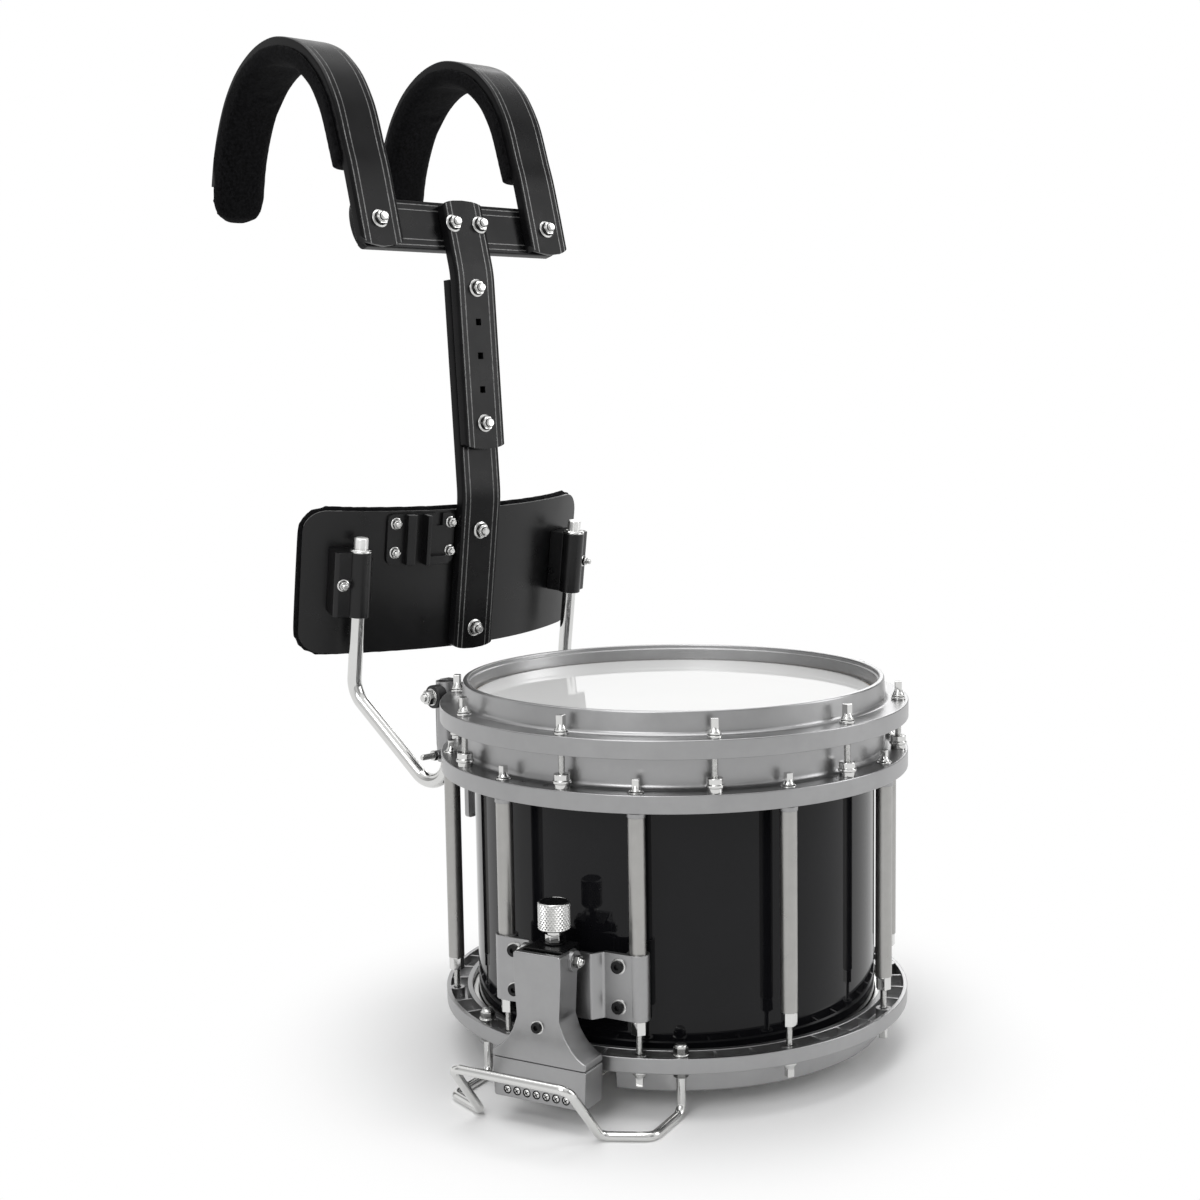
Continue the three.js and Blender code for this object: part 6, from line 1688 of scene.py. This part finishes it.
def studio():
    """Soft room: white where the camera sees it, with darker walls for the metal to show."""
    world = bpy.data.worlds.new("studio")
    bpy.context.scene.world = world
    tree, background, node = wire_up(world)
    way = node("ShaderNodeSeparateXYZ", [("Vector", node("ShaderNodeTexCoord").outputs["Generated"])])
    compass = node("ShaderNodeMath", [(0, way.outputs["Y"]), (1, way.outputs["X"])], operation="ARCTAN2")
    turn = node("ShaderNodeMapRange", [("Value", compass.outputs[0])], From_Min=-math.pi, From_Max=math.pi)
    ramp = node("ShaderNodeValToRGB", [("Fac", turn.outputs[0])])
    stops = ramp.color_ramp.elements
    stops[0].position, stops[1].position = 0.0, 1.0
    stops[0].color = stops[1].color = (ROOM[0][1],) * 3 + (1,)
    for degrees, level in ROOM[1:]:
        stop = stops.new((degrees + 180) / 360)
        stop.color = (level, level, level, 1)
    high = node("ShaderNodeMapRange", [("Value", way.outputs["Z"])], interpolation_type="SMOOTHSTEP",
                From_Min=0.45, From_Max=0.75)
    room = either(node, ramp.outputs[0], high.outputs[0])
    path = node("ShaderNodeLightPath").outputs
    shown = either(node, path["Is Camera Ray"], path["Is Transmission Ray"])
    plain = node("ShaderNodeMapRange", [("Value", shown)], To_Min=0.45, To_Max=1.0)
    strength = node("ShaderNodeMix", [(0, path["Is Glossy Ray"]), (2, plain.outputs[0]), (3, room)])
    tree.links.new(strength.outputs[0], background.inputs["Strength"])
    background.inputs["Color"].default_value = (1, 1, 1, 1)


# Soft boxes as [name, place, point they look at, size, watts], in metres.
LAMPS = [
    ("key", (-2.6, -1.3, 2.1), (0, 0, 0.4), (1.4, 1.8), 34),
    ("fill", (2.0, -2.2, 1.4), (0, 0, 0.4), (1.2, 2.0), 26),
    ("top", (0.0, 0.2, 3.2), (0, 0, 0.3), (2.4, 2.4), 42),
    ("back", (2.4, 1.2, 1.8), (0, 0, 0.5), (1.6, 1.6), 18),
]

# The camera's place in metres, its turn in degrees, and its focal length and film width in millimetres.
CAMERA_PLACE = (-1.09112, -1.23834, 0.56888)
CAMERA_TURN = (83.2923, 0.9166, -43.1175)
FOCAL_LENGTH, FILM_WIDTH = 53.16, 36.0


def stage():
    """Pale floor, soft world, soft lights and the camera."""
    mesh = bpy.data.meshes.new("floor")
    mesh.from_pydata([(-30, -30, 0), (30, -30, 0), (30, 30, 0), (-30, 30, 0)], [], [(0, 1, 2, 3)])
    mesh.materials.append(floor_paint())
    held(mesh, "floor")
    studio()

    for name, place, target, size, watts in LAMPS:
        lamp = bpy.data.lights.new(name, "AREA")
        lamp.shape, lamp.size, lamp.size_y, lamp.energy = "RECTANGLE", *size, watts
        thing = bpy.data.objects.new(name, lamp)
        thing.location = place
        thing.rotation_euler = (Vector(target) - Vector(place)).to_track_quat("-Z", "Y").to_euler()
        bpy.context.scene.collection.objects.link(thing)

    lens = bpy.data.cameras.new("camera")
    lens.lens, lens.sensor_width = FOCAL_LENGTH, FILM_WIDTH
    camera = bpy.data.objects.new("camera", lens)
    camera.location = CAMERA_PLACE
    camera.rotation_euler = tuple(math.radians(turn) for turn in CAMERA_TURN)
    bpy.context.scene.collection.objects.link(camera)
    bpy.context.scene.camera = camera
    bpy.context.scene.view_settings.view_transform = "Standard"


# The add-on.

class ShellAndHeads(bpy.types.Operator):
    """Build the shell, the batter head and the snare head"""
    bl_idname = "snare_drum.shell_and_heads"
    bl_label = "Shell and Heads"
    bl_options = {"REGISTER", "UNDO"}

    def execute(self, context):
        shell_and_heads()
        return {"FINISHED"}


class Hoops(bpy.types.Operator):
    """Build the upper hoop, the cast ring and the lower hoop"""
    bl_idname = "snare_drum.hoops"
    bl_label = "Hoops and Ring"
    bl_options = {"REGISTER", "UNDO"}

    def execute(self, context):
        hoops()
        return {"FINISHED"}


class Tubes(bpy.types.Operator):
    """Build the tension rods, the tubes between the castings and the lower rods"""
    bl_idname = "snare_drum.tubes"
    bl_label = "Tubes and Rods"
    bl_options = {"REGISTER", "UNDO"}

    def execute(self, context):
        tubes()
        return {"FINISHED"}


class Strainer(bpy.types.Operator):
    """Build the strainer with its lever, strand clamp and knob"""
    bl_idname = "snare_drum.strainer"
    bl_label = "Strainer"
    bl_options = {"REGISTER", "UNDO"}

    def execute(self, context):
        strainer()
        return {"FINISHED"}


class StrandsAndButt(bpy.types.Operator):
    """Build the snare strands and the butt that holds their far end"""
    bl_idname = "snare_drum.strands_and_butt"
    bl_label = "Strands and Butt"
    bl_options = {"REGISTER", "UNDO"}

    def execute(self, context):
        strands_and_butt()
        return {"FINISHED"}


class Bails(bpy.types.Operator):
    """Build the two wire bails below the lower hoop"""
    bl_idname = "snare_drum.bails"
    bl_label = "Wire Bails"
    bl_options = {"REGISTER", "UNDO"}

    def execute(self, context):
        bails()
        return {"FINISHED"}


class DrumBrackets(bpy.types.Operator):
    """Build the two brackets that take the J-shaped rods"""
    bl_idname = "snare_drum.drum_brackets"
    bl_label = "Drum Brackets"
    bl_options = {"REGISTER", "UNDO"}

    def execute(self, context):
        drum_brackets()
        return {"FINISHED"}


class CarrierSpine(bpy.types.Operator):
    """Build the upper strip, the lower strip and the crossbar"""
    bl_idname = "snare_drum.carrier_spine"
    bl_label = "Carrier Strips"
    bl_options = {"REGISTER", "UNDO"}

    def execute(self, context):
        carrier_spine()
        return {"FINISHED"}


class Straps(bpy.types.Operator):
    """Build the two shoulder straps with their bolts"""
    bl_idname = "snare_drum.straps"
    bl_label = "Shoulder Straps"
    bl_options = {"REGISTER", "UNDO"}

    def execute(self, context):
        straps()
        return {"FINISHED"}


class ShoulderPads(bpy.types.Operator):
    """Build the two cloth pads under the straps"""
    bl_idname = "snare_drum.shoulder_pads"
    bl_label = "Shoulder Pads"
    bl_options = {"REGISTER", "UNDO"}

    def execute(self, context):
        shoulder_pads()
        return {"FINISHED"}


class Belly(bpy.types.Operator):
    """Build the curved belly plate and the pad behind it"""
    bl_idname = "snare_drum.belly"
    bl_label = "Belly Plate and Pad"
    bl_options = {"REGISTER", "UNDO"}

    def execute(self, context):
        belly()
        return {"FINISHED"}


class PlateFittings(bpy.types.Operator):
    """Build the rod blocks and the accessory bracket"""
    bl_idname = "snare_drum.plate_fittings"
    bl_label = "Plate Fittings"
    bl_options = {"REGISTER", "UNDO"}

    def execute(self, context):
        plate_fittings()
        return {"FINISHED"}


class JRods(bpy.types.Operator):
    """Build the two chromed rods between carrier and drum"""
    bl_idname = "snare_drum.j_rods"
    bl_label = "J-shaped Rods"
    bl_options = {"REGISTER", "UNDO"}

    def execute(self, context):
        j_rods()
        return {"FINISHED"}


class Stage(bpy.types.Operator):
    """Build the floor, the lights and the camera"""
    bl_idname = "snare_drum.stage"
    bl_label = "Floor, Lights and Camera"
    bl_options = {"REGISTER", "UNDO"}

    def execute(self, context):
        stage()
        return {"FINISHED"}


BUILDERS = [
    ShellAndHeads, Hoops, Tubes, Strainer, StrandsAndButt,
    Bails, DrumBrackets, CarrierSpine, Straps, ShoulderPads,
    Belly, PlateFittings, JRods, Stage,
]


class SnareDrumPanel(bpy.types.Panel):
    """Lists the builders and the sizes they read"""
    bl_idname = "VIEW3D_PT_snare_drum"
    bl_label = "Marching Snare Drum"
    bl_space_type = "VIEW_3D"
    bl_region_type = "UI"
    bl_category = "Snare Drum"

    def draw(self, context):
        for builder in BUILDERS:
            self.layout.operator(builder.bl_idname)
        settings = context.scene.snare_drum
        for group in (settings.drum, settings.carrier, settings.finishes):
            box = self.layout.box()
            for name in group.bl_rna.properties.keys():
                if name not in ("rna_type", "name"):
                    box.prop(group, name)


CLASSES = [DrumSizes, CarrierSizes, Finishes, SnareDrum, *BUILDERS, SnareDrumPanel]


def register():
    for kind in CLASSES:
        bpy.utils.register_class(kind)
    bpy.types.Scene.snare_drum = PointerProperty(type=SnareDrum)


def unregister():
    del bpy.types.Scene.snare_drum
    for kind in reversed(CLASSES):
        bpy.utils.unregister_class(kind)


def main():
    register()
    for builder in BUILDERS:
        group, name = builder.bl_idname.split(".")
        getattr(getattr(bpy.ops, group), name)()


if __name__ == "__main__":
    main()
